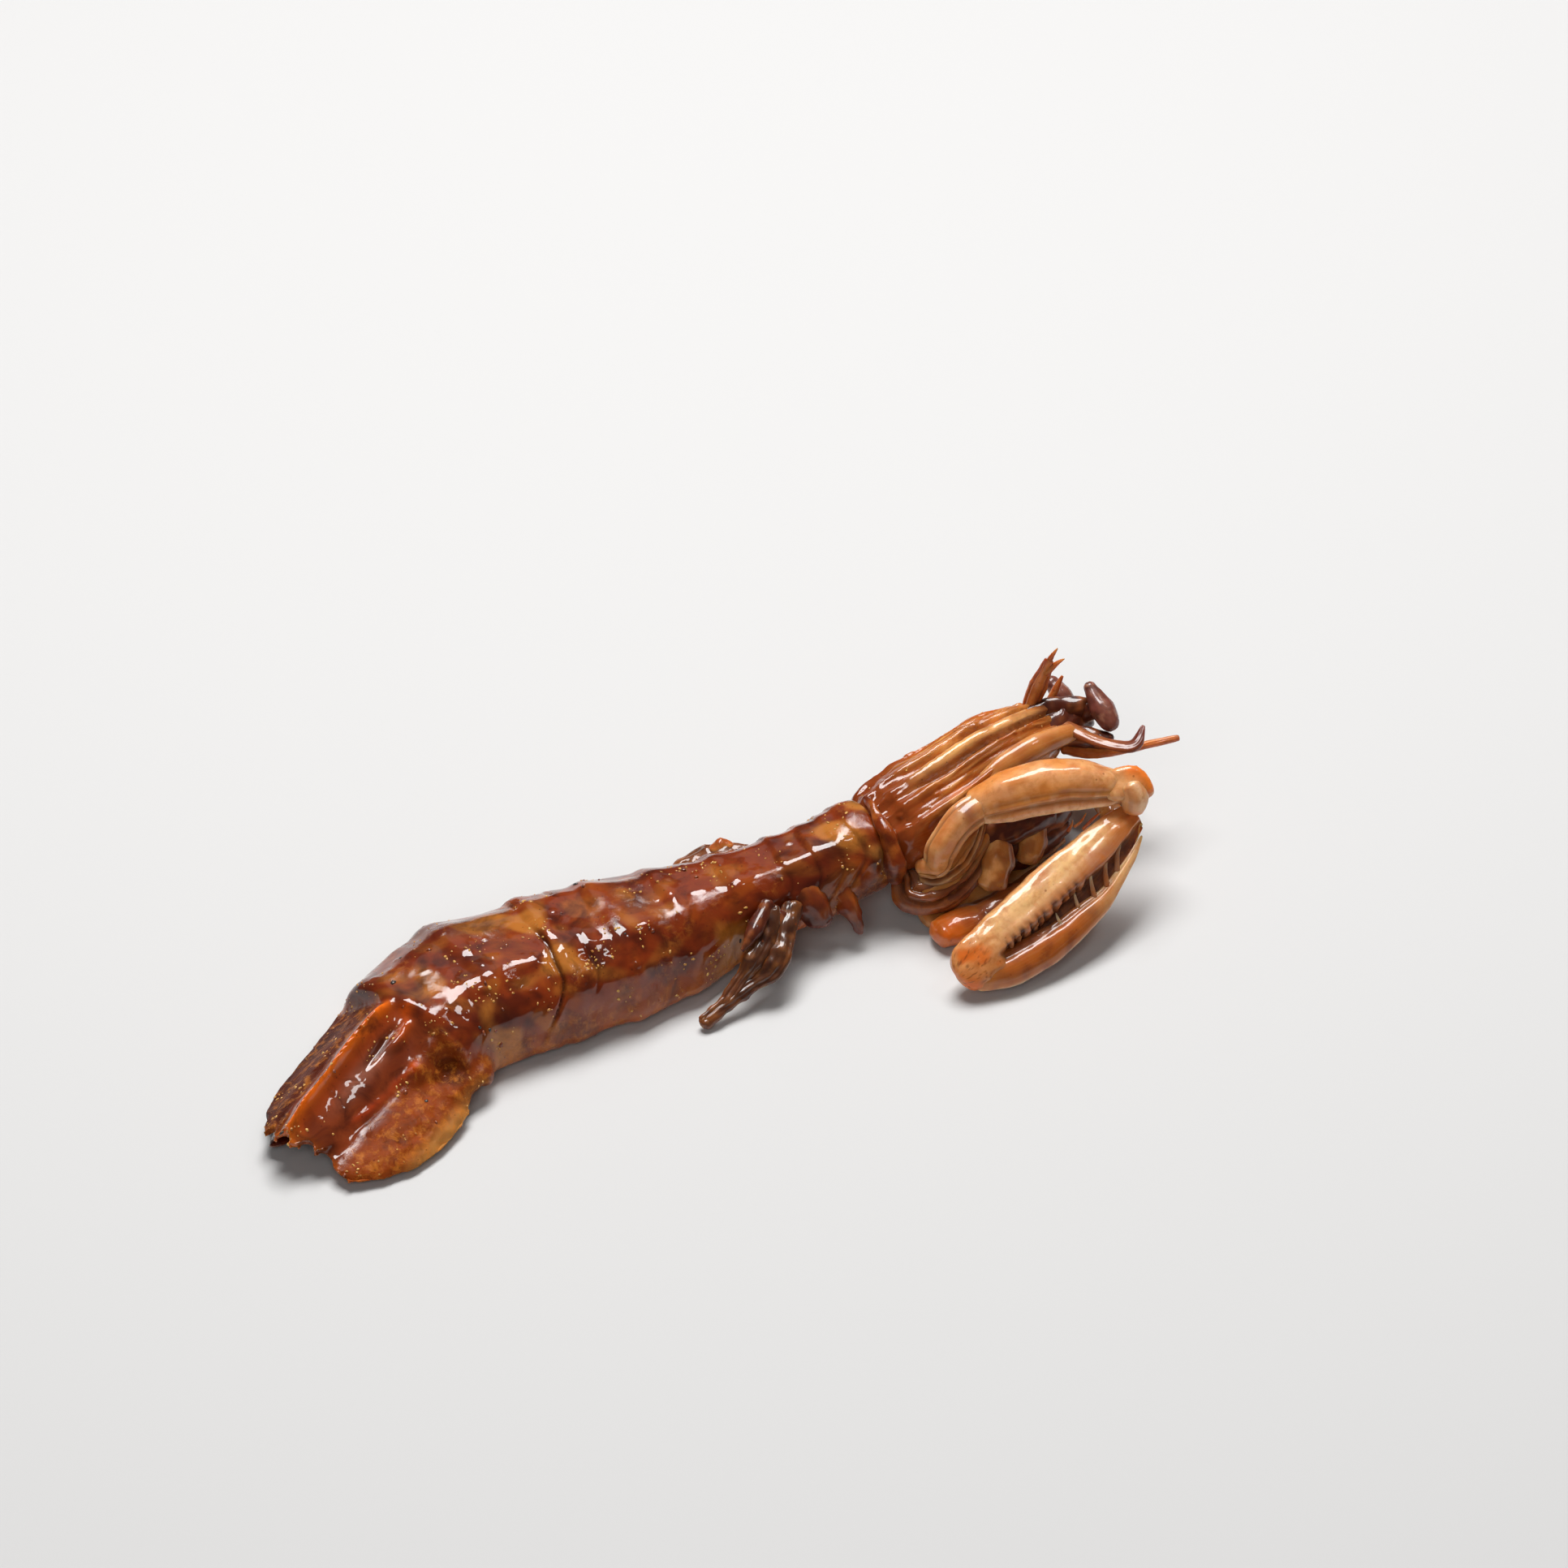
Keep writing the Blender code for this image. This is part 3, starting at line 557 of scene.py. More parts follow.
def calm_steps(places):
    """The rings' steps are smoothed away, and so is the valley between the telson and the right paddle."""
    back, right, above = in_fan(places)
    rings = 1 - step(back, -1.5, 1.5)
    slope = step(right, 1.5, 4.0) * (1 - step(right, 12.5, 15.5)) * (1 - step(back, 24.0, 28.0))
    return np.maximum(rings, slope * step(above, -7.0, -4.0))


SYRUP_PADS = (
    ((-43.0, -12.0, 7.6), 4.4),
    ((-46.0, -15.0, 6.4), 3.4),
    ((-42.0, -9.5, 9.6), 4.4),
    ((-50.0, -13.0, 6.6), 3.0),
)
FILM = {"fill": 0.9, "smoothing": 10, "glaze": 0.3}
body = skin("glazed_body", BODY_NODES, 0.36, calm=calm_steps, pads=SYRUP_PADS, **FILM)
places, normals = corners(body)
x, angle, height = along_body(places)
back, right, above = in_fan(places)
share = back / TELSON_LENGTH
in_tail = step(back, 0.0, 1.5)
on_rings = 1 - in_tail
upper = step(normals @ np.array(FAN_UP), 0.1, 0.4)
wobble = lumps(places, 5.0, 3.0)
milky = lumps(places, 7.0, 151.0)
lag = 5.4 * step(1 - height, 0.15, 0.85)
rim, cut = joint_forms(x + lag + wobble * 0.6, angle + wobble * 0.2)
rim *= on_rings * np.clip(0.6 + lumps(places, 4.0, 13.0), 0.1, 1.2)
cut *= on_rings
on_top = step(above + 0.35 * np.abs(right), -4.0, -2.0) * (normals[:, 2] > -0.2)
crest = bell(right + wobble * 0.2, 0.0, 0.7) * on_top * step(back, -1.0, 3.0) * (1 - step(share, 0.97, 1.02))
foot = bell(right, 3.0 + 0.02 * back, 0.7) * upper * step(back, 2.0, 5.0) * (1 - step(share, 0.30, 0.5))
knobs = bell(right, 4.3, 0.9) * upper * step(back, 0.5, 2.0) * (1 - step(share, 0.15, 0.3))
edge_ridge = bell(right + wobble * 0.5, 9.6 - 4.6 * share, 0.5) * upper
edge_ridge *= step(back, 5.0, 9.0) * (1 - step(share, 0.7, 0.9)) * np.clip(0.5 + milky, 0.0, 1.0)
flank = step(-height, -0.62, -0.25) * on_rings
on_paddle = in_tail * step(right, 7.5, 10.0)
far_slope = in_tail * step(-right, 1.5, 3.0)
crust = np.clip(flank * 0.8 + patches(places, 6.0, 141.0, 0.1, 0.5) * 0.5, 0.0, 0.9)
crust = crust * (1 - 0.6 * in_tail * (1 - on_paddle)) + (on_paddle + far_slope) * 1.6
lift = glaze_lumps(places, 2.0) * (1 - 0.3 * in_tail)
lift += rim - cut
lift += in_tail * (knobs * 0.8 - foot * 0.8 + edge_ridge * 0.3)
grit = lumps(places, 2.6, 39.0) * 0.16 + lumps(places, 1.5, 41.0) * 0.12 + lumps(places, 0.8, 43.0) * 0.05
lift += crust * (1 - 0.8 * far_slope) * grit
low_swell = bell(height, 0.18, 0.16) * (angle < 1.4) * (angle > -1.4) * (1 - step(x, 18.0, 24.0))
lift += 1.3 * low_swell * on_rings
place_corners(body, places + normals * lift[:, None] + np.outer(crest * 0.9, FAN_UP))
patch = lumps(places, 6.0, 51.0, (0.7, 1.0, 1.0)) * 0.5 + lumps(places, 2.2, 57.0) * 0.5
mottle = lumps(places, 3.4, 61.0, (0.8, 1.0, 1.0))
knob_seen = bell(back, 7.0, 0.8) * bell(right, 8.6, 0.8) + bell(back, 0.2, 1.0) * bell(right, 3.0, 1.0)
paint(
    body,
    "#7e2e0c",
    (
        (step(mottle, 0.15, 0.5) * (0.25 + 0.5 * flank) * on_rings, "#c07a30"),
        (step(patch, 0.05, 0.45) * 0.75, "#481406"),
        (step(-patch, 0.05, 0.5) * (0.25 + 0.6 * flank), "#b85e18"),
        (flank * 0.6, "#a04c14"),
        (patches(places, 9.0, 161.0, 0.05, 0.5) * 0.7 * on_rings, "#4a140a"),
        (patches(places, 6.5, 167.0, 0.22, 0.5) * 0.75 * on_rings, "#bc742c"),
        (step(x, 20.0, 30.0) * patches(places, 4.0, 171.0, 0.05, 0.4) * 0.6, "#c8843a"),
        (rim * step(-patch, -0.2, 0.3) * (0.4 + flank), "#c47c30"),
        (step(0.34 - height, 0.0, 0.25) * on_rings * 0.6, "#b8560f"),
        (in_tail * 0.8, "#803616"),
        (in_tail * step(milky, 0.05, 0.5) * 0.45, "#551a08"),
        # painted highlight: a paler patch on the telson's near slope stands in for a soft reflection
        (in_tail * upper * bell(right, 3.6, 1.3) * bell(share, 0.42, 0.22) * 0.5, "#b4745c"),
        (in_tail * step(right, 8.0, 12.0) * 0.6, "#984614"),
        (in_tail * step(right, 15.5, 18.5) * 0.8, "#b98040"),
        (edge_ridge * 0.7, "#b23c14"),
        (foot * 0.8, "#380e06"),
        (knobs * 0.7, "#c05010"),
        # painted shade: the telson's far slope is painted darker
        (far_slope * 0.8, "#42140a"),
        (bell(right, 1.0, 1.2) * on_top * in_tail * 0.5, "#a03c0a"),
        (crest * 1.2, "#ea6c10"),
        (in_tail * step(share, 0.88, 1.0) * (1 - step(right, 8.0, 10.0)) * 0.6, "#cf6818"),
        (knob_seen * upper * 0.9, "#c8500c"),
        (cut * 1.1, "#300d05"),
    ),
    crust,
)
finish_piece(body, SOY_GLAZED_SHELL, BODY_NODES)

# %% [markdown]
# The left paddle lies on the far side, half under the telson, and is finished in the same way.

# %% Left paddle
paddle = skin("glazed_uropod_left", ("uropod_left",), 0.28, fill=0.3, smoothing=4)
places, normals = corners(paddle)
lift = glaze_lumps(places, 23.0, 0.2, 0.08)
_, right, _ = in_fan(places)
tucked = 4.0 * step(-right, 2.0, 12.0)
place_corners(paddle, places + normals * lift[:, None] + np.outer(tucked, FAN_RIGHT))
rim = 1 - step(np.abs(normals[:, 2]), 0.25, 0.75)
paint(
    paddle,
    "#641c08",
    ((patches(places, 5.0, 200.0, 0.0, 0.5) * 0.55, "#481206"), (rim * 0.4, "#8a4a1c")),
)
finish_piece(paddle, SOY_GLAZED_SHELL, ("uropod_left",))

# %% [markdown]
# ### The carapace
# The head shield shows its own form: a median ridge with a long wet gleam, a lower ridge on the far side,
# a dark groove on the near side, and two sizes of fibres lengthwise. Its place along and across comes from
# its box and the line that joins the middles of its two ends. Toward the rear the fibres end and the syrup
# lies dark and lumpy, up to the rim.

# %% Carapace
shield = skin("glazed_carapace", ("carapace",), 0.28, fill=0.3, smoothing=3)
places, normals = corners(shield)
low, high = (np.array(corner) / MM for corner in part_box("carapace"))
share = (places[:, 0] - low[0]) / (high[0] - low[0])
rear_end = at((39.3, 2.2, 0.0))
front_end = at((72.5, 9.6, 0.0))
middle_y = np.interp(places[:, 0], (rear_end.x, front_end.x), (rear_end.y, front_end.y))
half = np.interp(share, (0.0, 0.2, 0.5, 0.8, 1.0), (8.0, 8.3, 7.6, 6.4, 4.8))
across = np.clip((middle_y - places[:, 1]) / half, -1.2, 1.2)
drift = across + lumps(places, 9.0, 35.0) * 0.07 + lumps(places, 3.0, 36.0) * 0.02
upper = step(normals[:, 2], -0.1, 0.35)
grain = lumps(np.stack([places[:, 0] * 0.12, across * 9.0, places[:, 2] * 0.25], 1), 1.0, 5.0)
fine_grain = lumps(np.stack([places[:, 0] * 0.25, across * 19.0, places[:, 2] * 0.4], 1), 1.0, 15.0)
away_from_rim = step(share, 0.12, 0.35)
median = bell(drift, 0.05, 0.13) * upper * away_from_rim
second = bell(drift, -0.36, 0.10) * upper * away_from_rim
groove = (bell(drift, 0.26, 0.07) + 0.6 * bell(drift, -0.17, 0.06)) * upper * away_from_rim
flap_edge = bell(drift, 0.88, 0.10) * upper
rear_rim = bell(share, 0.03, 0.04)
lift = glaze_lumps(places, 7.0, 0.5, 0.24)
lift += (grain * 0.26 + fine_grain * 0.16) * (0.25 + 0.75 * away_from_rim) * (1 - 0.7 * median)
lift += (1 - away_from_rim) * (lumps(places, 2.6, 81.0) * 0.35 + lumps(places, 1.4, 83.0) * 0.12)
lift += median * 0.7 + second * 0.4 - groove * 0.9 + flap_edge * 0.3 + rear_rim * 0.6
place_corners(shield, places + normals * lift[:, None])
patch = lumps(places, 5.0, 77.0)
paint(
    shield,
    "#c4641e",
    (
        (step(patch, 0.0, 0.5) * 0.5, "#98420e"),
        (step(grain, 0.0, 0.4) * 0.6 * away_from_rim, "#e09440"),
        (step(fine_grain, 0.1, 0.5) * 0.5 * away_from_rim, "#ecb468"),
        (step(-fine_grain, 0.1, 0.4) * 0.5 * away_from_rim, "#7c3812"),
        (step(across, 0.1, 0.5) * (1 - step(across, 0.7, 0.95)) * 0.6 * step(share, 0.3, 0.6), "#7c3410"),
        (groove * 0.7, "#6a2a0c"),
        (second * 0.6, "#d89048"),
        (median * 0.8, "#e8ac68"),
        ((1 - step(share + 0.10 * patch, 0.12, 0.50)) * 0.8, "#742c10"),
        (rear_rim * 0.5, "#5c1c08"),
        (step(share, 0.84, 1.0) * bell(drift, 0.0, 0.3) * 0.8, "#6c2410"),
    ),
    0.05 + 0.22 * away_from_rim * (1 - median),
)
finish_piece(shield, SOY_GLAZED_SHIELD, ("carapace",))

# %% [markdown]
# ## The limbs
# Every limb article is a tube with a form of its own: flat or round, grooved, ridged, bowed. All of them are
# made in one way. A grid is wrapped round a smooth middle line, row by row, and its last rows close in a
# rounded end. Because the grid came first, it also gives each corner a place along and around the article,
# and from these come the grooves, the colours and the UV map that the fibres follow.

# %% Wrap a grid round a middle line
CLAW_FACING = Vector((-0.31, -0.70, 0.64)).normalized()
SIDE_COUNT = 56
ROW_STEP = 0.45
CAP_ROWS = 9


def smooth_line(points, steps):
    """Places on a smooth curve through the given ones, with the same number of steps to each span."""
    knots = [at(point) for point in points]
    line = [knots[0]]
    for index, (start, end) in enumerate(zip(knots, knots[1:])):
        before = knots[max(index - 1, 0)]
        after = knots[min(index + 2, len(knots) - 1)]
        leaving = start + (end - before) / 6
        arriving = end - (after - start) / 6
        line += interpolate_bezier(start, leaving, arriving, end, steps + 1)[1:]
    return line


def cap_rows(row, way, bulge, sign):
    """The rows that close a tube's end in a rounded cap, beyond its last row."""
    middle, across, toward, run = row
    caps = []
    for index in range(1, CAP_ROWS + 1):
        lift = pi / 2 * (index / CAP_ROWS)
        reach = across.length * bulge * sin(lift)
        caps.append((middle + way * reach, across * cos(lift), toward * cos(lift), run + sign * reach))
    return caps


def tube_rows(points, widths, thickness, facing, ends):
    """The rows of a tube: middle, half axis across, half axis to the facing side, and length run so far."""
    length = sum((Vector(b) - Vector(a)).length for a, b in zip(points, points[1:]))
    spans = len(points) - 1
    line = smooth_line(points, max(4, int(length / ROW_STEP / spans)))
    last = len(line) - 1
    rows = []
    run = 0.0
    for index, middle in enumerate(line):
        if index:
            run += (middle - line[index - 1]).length
        way = (line[min(index + 1, last)] - line[max(index - 1, 0)]).normalized()
        width = np.interp(index / last, np.linspace(0, 1, len(widths)), widths)
        across = way.cross(facing).normalized()
        rows.append((middle, across * width, across.cross(way) * width * thickness, run))
    start = cap_rows(rows[0], (line[0] - line[1]).normalized(), ends[0], -1)
    finish = cap_rows(rows[-1], (line[-1] - line[-2]).normalized(), ends[1], 1)
    return [*reversed(start), *rows, *finish]


def tube(name, points, widths, thickness=0.8, facing=UP, ends=(0.5, 0.5), relief=None, sides=SIDE_COUNT, box=2.0):
    """An article as a wrapped grid. relief gives the height over the plain tube from share and angle.

    box is the power of the section's curve: 2 is an ellipse, and more makes it squarer.
    """
    rows = tube_rows(points, widths, thickness, facing, ends)
    last = len(rows) - 1
    run = np.array([row[3] for row in rows])
    shape = bmesh.new()
    sheet_uv = shape.loops.layers.uv.new("article")
    bmesh.ops.create_grid(shape, x_segments=last, y_segments=sides, size=1.0, calc_uvs=True)
    flat = np.array([vertex.co[:2] for vertex in shape.verts])
    row_of = np.round((flat[:, 0] + 1) / 2 * last).astype(int)
    angle = np.round((flat[:, 1] + 1) / 2 * sides) / sides * 2 * pi
    share = (run[row_of] - run[0]) / (run[-1] - run[0])
    girth = 2 * pi * max(widths) * (1 + thickness) / 2
    shape.verts.index_update()
    for face in shape.faces:
        for loop in face.loops:
            corner = loop.vert.index
            loop[sheet_uv].uv = (run[row_of[corner]], angle[corner] / (2 * pi) * girth)
    middle, across, toward = (np.array([row[part] for row in rows])[row_of] for part in range(3))
    spot = across * np.cos(angle)[:, None] + toward * np.sin(angle)[:, None]
    spot *= ((np.abs(np.cos(angle)) ** box + np.abs(np.sin(angle)) ** box) ** (-1 / box))[:, None]
    reach = np.linalg.norm(spot, axis=1)
    if relief:
        height = relief(share, angle % (2 * pi)) * np.minimum(1.0, reach / 1.2)
        spot *= (1 + height / np.maximum(reach, 0.05))[:, None]
    along_layer = shape.verts.layers.float.new("along")
    turn_layer = shape.verts.layers.float.new("turn")
    for vertex, place, here, turn in zip(shape.verts, (middle + spot) * MM, share, angle % (2 * pi)):
        vertex[along_layer] = here
        vertex[turn_layer] = turn
        vertex.co = place
    bmesh.ops.remove_doubles(shape, verts=shape.verts[:], dist=0.002 * MM)
    bmesh.ops.recalc_face_normals(shape, faces=shape.faces[:])
    mesh = mesh_from(name, shape)
    mesh.shade_smooth()
    return link(name, mesh)


def shares(thing):
    """The share along and the angle round of each corner of a tube."""
    count = len(thing.data.vertices)
    along = np.empty(count, np.float32)
    turn = np.empty(count, np.float32)
    thing.data.attributes["along"].data.foreach_get("value", along)
    thing.data.attributes["turn"].data.foreach_get("value", turn)
    return along.astype(float), turn.astype(float)


def around(angle, middle, width):
    """A bell round the tube, which knows that the angle comes back to its start."""
    away = np.abs((np.asarray(angle) - middle + pi) % (2 * pi) - pi)
    return np.exp(-((away / width) ** 2))


# %% [markdown]
# A groove or a ridge is a line that runs along an article at some angle round it. Each has a width and a
# depth, and a stretch that it runs over. Angle 0 is the edge that looks outward, a quarter turn is the
# middle of the side that faces the viewer of the claw, and a half turn is the inner edge.

# %% Grooves, ridges and the roughness of shell
def between(share, start, end, soft=0.06):
    """1 on the stretch from start to end of an article, 0 off it."""
    return step(share, start - soft, start + soft) * (1 - step(share, end - soft, end + soft))


def furrows(lines):
    """A relief function from rows of (angle, width, depth, start, end)."""

    def relief(share, angle):
        height = np.zeros(len(share))
        for middle, width, depth, start, end in lines:
            height += around(angle, middle, width) * between(share, start, end) * depth
        return height

    return relief


def weather(thing, seed, big, small, fibre):
    """Boiled shell is dented and faintly ribbed: noise moves each corner a little along its normal."""
    places, normals = corners(thing)
    along, turn = shares(thing)
    lift = lumps(places, 4.5, seed) * big + lumps(places, 1.4, seed + 5) * small
    ring = np.stack([along * 3.0, np.cos(turn) * 4.5, np.sin(turn) * 4.5], 1)
    lift += lumps(ring, 1.0, seed + 11) * fibre
    place_corners(thing, places + normals * lift[:, None])


def article(name, material, nodes, shape, tones, lines=(), seed=1.0, roughness=(0.24, 0.035, 0.02), **more):
    """A finished limb article: shape is its middle line, half widths, thickness and facing.

    tones are its ground colour and its layers, each a mask and a colour. Its grooves are painted darker: brown
    juice, and painted shade in the crevice.
    """
    thing = tube(name, *shape, relief=furrows(lines) if lines else None, **more)
    weather(thing, seed, *roughness)
    along, turn = shares(thing)
    places, _ = corners(thing)
    ground, *layers = tones
    masks = [(mask(along, turn, places), text) for mask, text in layers]
    for middle, width, depth, start, end in lines:
        if depth < 0:
            # grooves painted darker: brown juice, plus painted shade in the crevice
            juice_and_shade = around(turn, middle, width * 0.8) * between(along, start, end) * min(1.0, -depth * 1.6)
            masks.append((juice_and_shade, "#5a2a14"))
    paint(thing, ground, masks)
    finish_piece(thing, material, nodes)


# %% [markdown]
# ### The opened claw
# The arm comes from under the shield as an S-shaped lobe, runs forward as the long merus and turns back at
# the carpus, a rounded box with an orange corner. The merus has one sharp groove in its lower third, with a
# pale band under it. Each tone of an article is a mask and a colour: cloudy patches, a band that runs
# lengthwise, or a change from one end to the other.

# %% Arm of the right claw
def patchy(size, seed, low, high, strength):
    """A mask of cloudy patches."""
    return lambda along, turn, places: patches(places, size, seed, low, high) * strength


def band(middle, width, strength=1.0, start=-0.2, end=1.2):
    """A mask for a lengthwise band at an angle round the article."""
    return lambda along, turn, places: around(turn, middle, width) * between(along, start, end, 0.05) * strength


def stretch(low, high, strength):
    """A mask that grows along the article, from low to high."""
    return lambda along, turn, places: step(along, low, high) * strength


def elbow_shade(along, turn, places):
    """The dark fold where the arm bends under the shield."""
    return bell(along, 0.27, 0.09) * around(turn, 1.2, 0.8) * 0.9


CLAW_TOP = (CLAW_FACING + UP * 0.45).normalized()
MERUS_LINE = ((54.0, -5.2, 18.9), (60.5, -6.8, 20.6), (68.0, -8.5, 21.2), (75.8, -10.7, 19.8))
ISCHIUM_LINE = ((55.4, -5.8, 19.4), (50.6, -7.0, 18.2), (47.0, -7.8, 14.6), (46.4, -7.0, 10.8), (44.4, -5.6, 10.0))
CARPUS_LINE = ((74.6, -10.4, 19.6), (77.8, -11.4, 19.6), (78.9, -12.2, 17.8))
article(
    "claw_right_merus_shell",
    BOILED_CLAW_SHELL,
    ("claw_right_merus",),
    (MERUS_LINE, (2.9, 4.0, 4.3, 4.1, 2.7), 0.74, CLAW_TOP),
    (
        "#dc9250",
        (patchy(5.0, 12.0, 0.0, 0.5, 0.6), "#d89a78"),
        (band(1.9, 0.5, 0.5), "#f2bc88"),
        (patchy(4.0, 3.0, 0.0, 0.4, 0.6), "#e48c34"),
        (band(1.1, 0.3, 0.5, 0.15, 0.95), "#d8802c"),
        (band(0.46, 0.12, 0.9, 0.25, 0.95), "#c4601c"),
        (band(0.12, 0.30, 0.95), "#ffd6a8"),
        (band(2.9, 0.45, 0.9, -0.2, 0.40), "#f08418"),
        (patchy(1.6, 8.0, 0.1, 0.5, 0.45), "#b86428"),
        (patchy(1.4, 9.0, 0.25, 0.6, 0.35), "#f0c090"),
    ),
    (
        (0.62, 0.07, -0.75, 0.10, 1.02),
        (0.20, 0.25, 0.45, 0.05, 0.95),
        (1.00, 0.16, -0.25, 0.15, 0.9),
        (1.85, 0.35, 0.45, 0.1, 0.95),
        (4.0, 0.3, -0.4, 0.1, 0.9),
    ),
    3.0,
    (0.34, 0.05, 0.02),
)
article(
    "claw_right_ischium_shell",
    BOILED_CLAW_SHELL,
    ("claw_right_ischium",),
    (ISCHIUM_LINE, (2.4, 2.7, 2.6, 2.2, 1.2), 0.7, CLAW_FACING),
    (
        "#e09a5c",
        (patchy(2.6, 14.0, -0.1, 0.4, 0.6), "#c46c2c"),
        (elbow_shade, "#7c4638"),
        (band(0.0, 0.5, 0.7), "#eeb47c"),
        (band(3.1, 0.5, 0.7), "#eaac72"),
        (patchy(2.0, 19.0, 0.1, 0.5, 0.5), "#e0a468"),
    ),
    ((0.6, 0.16, -0.35, 0.1, 0.9), (2.5, 0.16, -0.35, 0.1, 0.9), (1.5, 0.3, 0.25, 0.1, 0.8)),
    7.0,
    ends=(0.5, 0.8),
)
article(
    "claw_right_carpus_shell",
    BOILED_CLAW_SHELL,
    ("claw_right_carpus",),
    (CARPUS_LINE, (2.3, 3.1, 2.5), 0.86, CLAW_TOP),
    (
        "#dc9c62",
        (patchy(2.6, 22.0, 0.0, 0.5, 0.5), "#f2c494"),
        (band(2.9, 0.35, 0.7, -0.2, 0.45), "#f4cfa8"),
        (band(2.3, 0.50, 1.0, 0.42, 0.80), "#ee7c18"),
        (band(0.3, 0.3, 0.7), "#f6cfa4"),
        (stretch(0.84, 0.98, 0.8), "#d4742a"),
        (patchy(1.6, 29.0, 0.15, 0.5, 0.6), "#c0682c"),
    ),
    ((2.2, 0.30, 0.4, 0.2, 0.9),),
    9.0,
    (0.34, 0.06, 0.02),
    box=4.0,
    ends=(0.35, 0.5),
)

# %% [markdown]
# The palm is a long tan plate, palest on its facing side. Its outer side sinks to a dark trough where the
# finger folds in, and a comb of short dark notches edges the trough near the hinge. The hinge is orange, with
# a few curled brown lines.

# %% Palm of the right claw
CLAW_HINGE = Vector((43.6, -24.6, 5.4))
CLAW_WRIST = Vector((77.4, -13.4, 15.4))
CLAW_LENGTH = (CLAW_WRIST - CLAW_HINGE).length
CLAW_ALONG = (CLAW_WRIST - CLAW_HINGE).normalized()
CLAW_OUT = CLAW_ALONG.cross(CLAW_FACING).normalized()
CLAW_TOWARD = CLAW_OUT.cross(CLAW_ALONG).normalized()


def in_claw(along, outward, toward=0.0):
    """A place in the claw: along it from hinge to wrist, outward from the palm, and toward the viewer."""
    return CLAW_HINGE + CLAW_ALONG * along + CLAW_OUT * outward + CLAW_TOWARD * toward


def claw_places(places):
    """For each place: how far along the claw, how far outward and how far toward the viewer."""
    away = places - np.array(at(CLAW_HINGE))
    return away @ np.array(CLAW_ALONG), away @ np.array(CLAW_OUT), away @ np.array(CLAW_TOWARD)


def palm_relief(share, angle):
    """A faint line and a fuller inner edge."""
    return around(angle, 2.65, 0.25) * 0.3 - around(angle, 1.95, 0.14) * 0.12


palm_line = [
    in_claw(share * CLAW_LENGTH, bow)
    for share, bow in ((0.0, 1.2), (0.15, 1.8), (0.35, 2.1), (0.65, 1.6), (0.9, 0.6), (1.0, 0.3))
]
palm = tube(
    "claw_right_palm",
    palm_line,
    (4.0, 5.0, 5.4, 5.3, 4.6, 3.2, 2.0),
    0.54,
    CLAW_FACING,
    ends=(0.75, 0.4),
    relief=palm_relief,
    sides=128,
)
places, _ = corners(palm)
along, turn = shares(palm)
reach, outward, toward = claw_places(places)
wall = 2.5 + 0.5 * along - 1.4 * step(along, 0.75, 1.0)
comb = step(along, 0.20, 0.24) * (1 - step(along, 0.60, 0.68))
notch_wave = np.sin(reach * 2 * pi / 1.7 + lumps(places, 4.0, 24.0) * 4.0)
teeth_of_comb = step(notch_wave, -0.2, 0.6) * comb
trough = step(outward, wall - 0.25 + teeth_of_comb * 0.7, wall + 0.5 + teeth_of_comb * 0.7)
trough *= step(along, 0.16, 0.24)
trough *= step(toward, -0.6, 0.2)
sunk = np.minimum(toward, -0.1 + 0.25 * lumps(places, 2.5, 27.0))
places += np.outer((sunk - toward) * trough, CLAW_TOWARD)
place_corners(palm, places)
weather(palm, 31.0, 0.36, 0.12, 0.015)
places, _ = corners(palm)
face = step(toward, -0.8, 0.4)
curls = step(-np.abs(lumps(places, 1.3, 61.0)), -0.05, -0.012) * (1 - step(along, 0.08, 0.20)) * face
notches = (1 - step(notch_wave, -0.4, 0.2)) * comb * bell(outward, wall + 0.1, 0.9) * face
near_hinge = 1 - step(along + lumps(places, 3.0, 63.0) * 0.06, 0.06, 0.24)
paint(
    palm,
    "#c27e4c",
    (
        (around(turn, 2.25, 0.6) * 0.9, "#f0c284"),
        (patches(places, 4.0, 66.0, 0.0, 0.5) * 0.6, "#c48460"),
        (around(turn, 1.35, 0.3) * 0.8 * step(along, 0.15, 0.35), "#a4603a"),
        (near_hinge * 0.8, "#d88848"),
        (near_hinge * patches(places, 2.6, 64.0, -0.1, 0.3) * 0.9, "#dc6810"),
        (step(along, 0.80, 1.0) * 0.8, "#dc7c2a"),
        (patches(places, 1.2, 67.0, 0.15, 0.5) * 0.35 * face, "#b06430"),
        (trough * 1.1, "#74402a"),
        (trough * patches(places, 1.6, 68.0, 0.0, 0.4) * 0.7, "#3c1a14"),
        (notches * 1.2, "#35161a"),
        (curls * 0.8, "#7a3414"),
        (1 - step(toward, -1.6, -0.6), "#b86c30"),
    ),
)
finish_piece(palm, BOILED_CLAW_SHELL, ("claw_right_propodus",))

# %% [markdown]
# The finger is a slim brown blade that lies shut along the trough, with a pale line along its edge. Its six
# thin teeth reach over the dark floor of the trough, palest at their points.

# %% Finger and teeth of the right claw
FINGER = ((0.4, 3.5), (4.4, 5.2), (11.0, 6.7), (18.0, 7.1), (24.5, 6.9), (30.5, 5.6), (35.6, 3.7))


def finger_relief(share, angle):
    """A ridge along the blade's face and a thinner inner edge."""
    return 0.10 * around(angle, 0.3, 0.3) - 0.35 * around(angle, 2.3, 0.3)


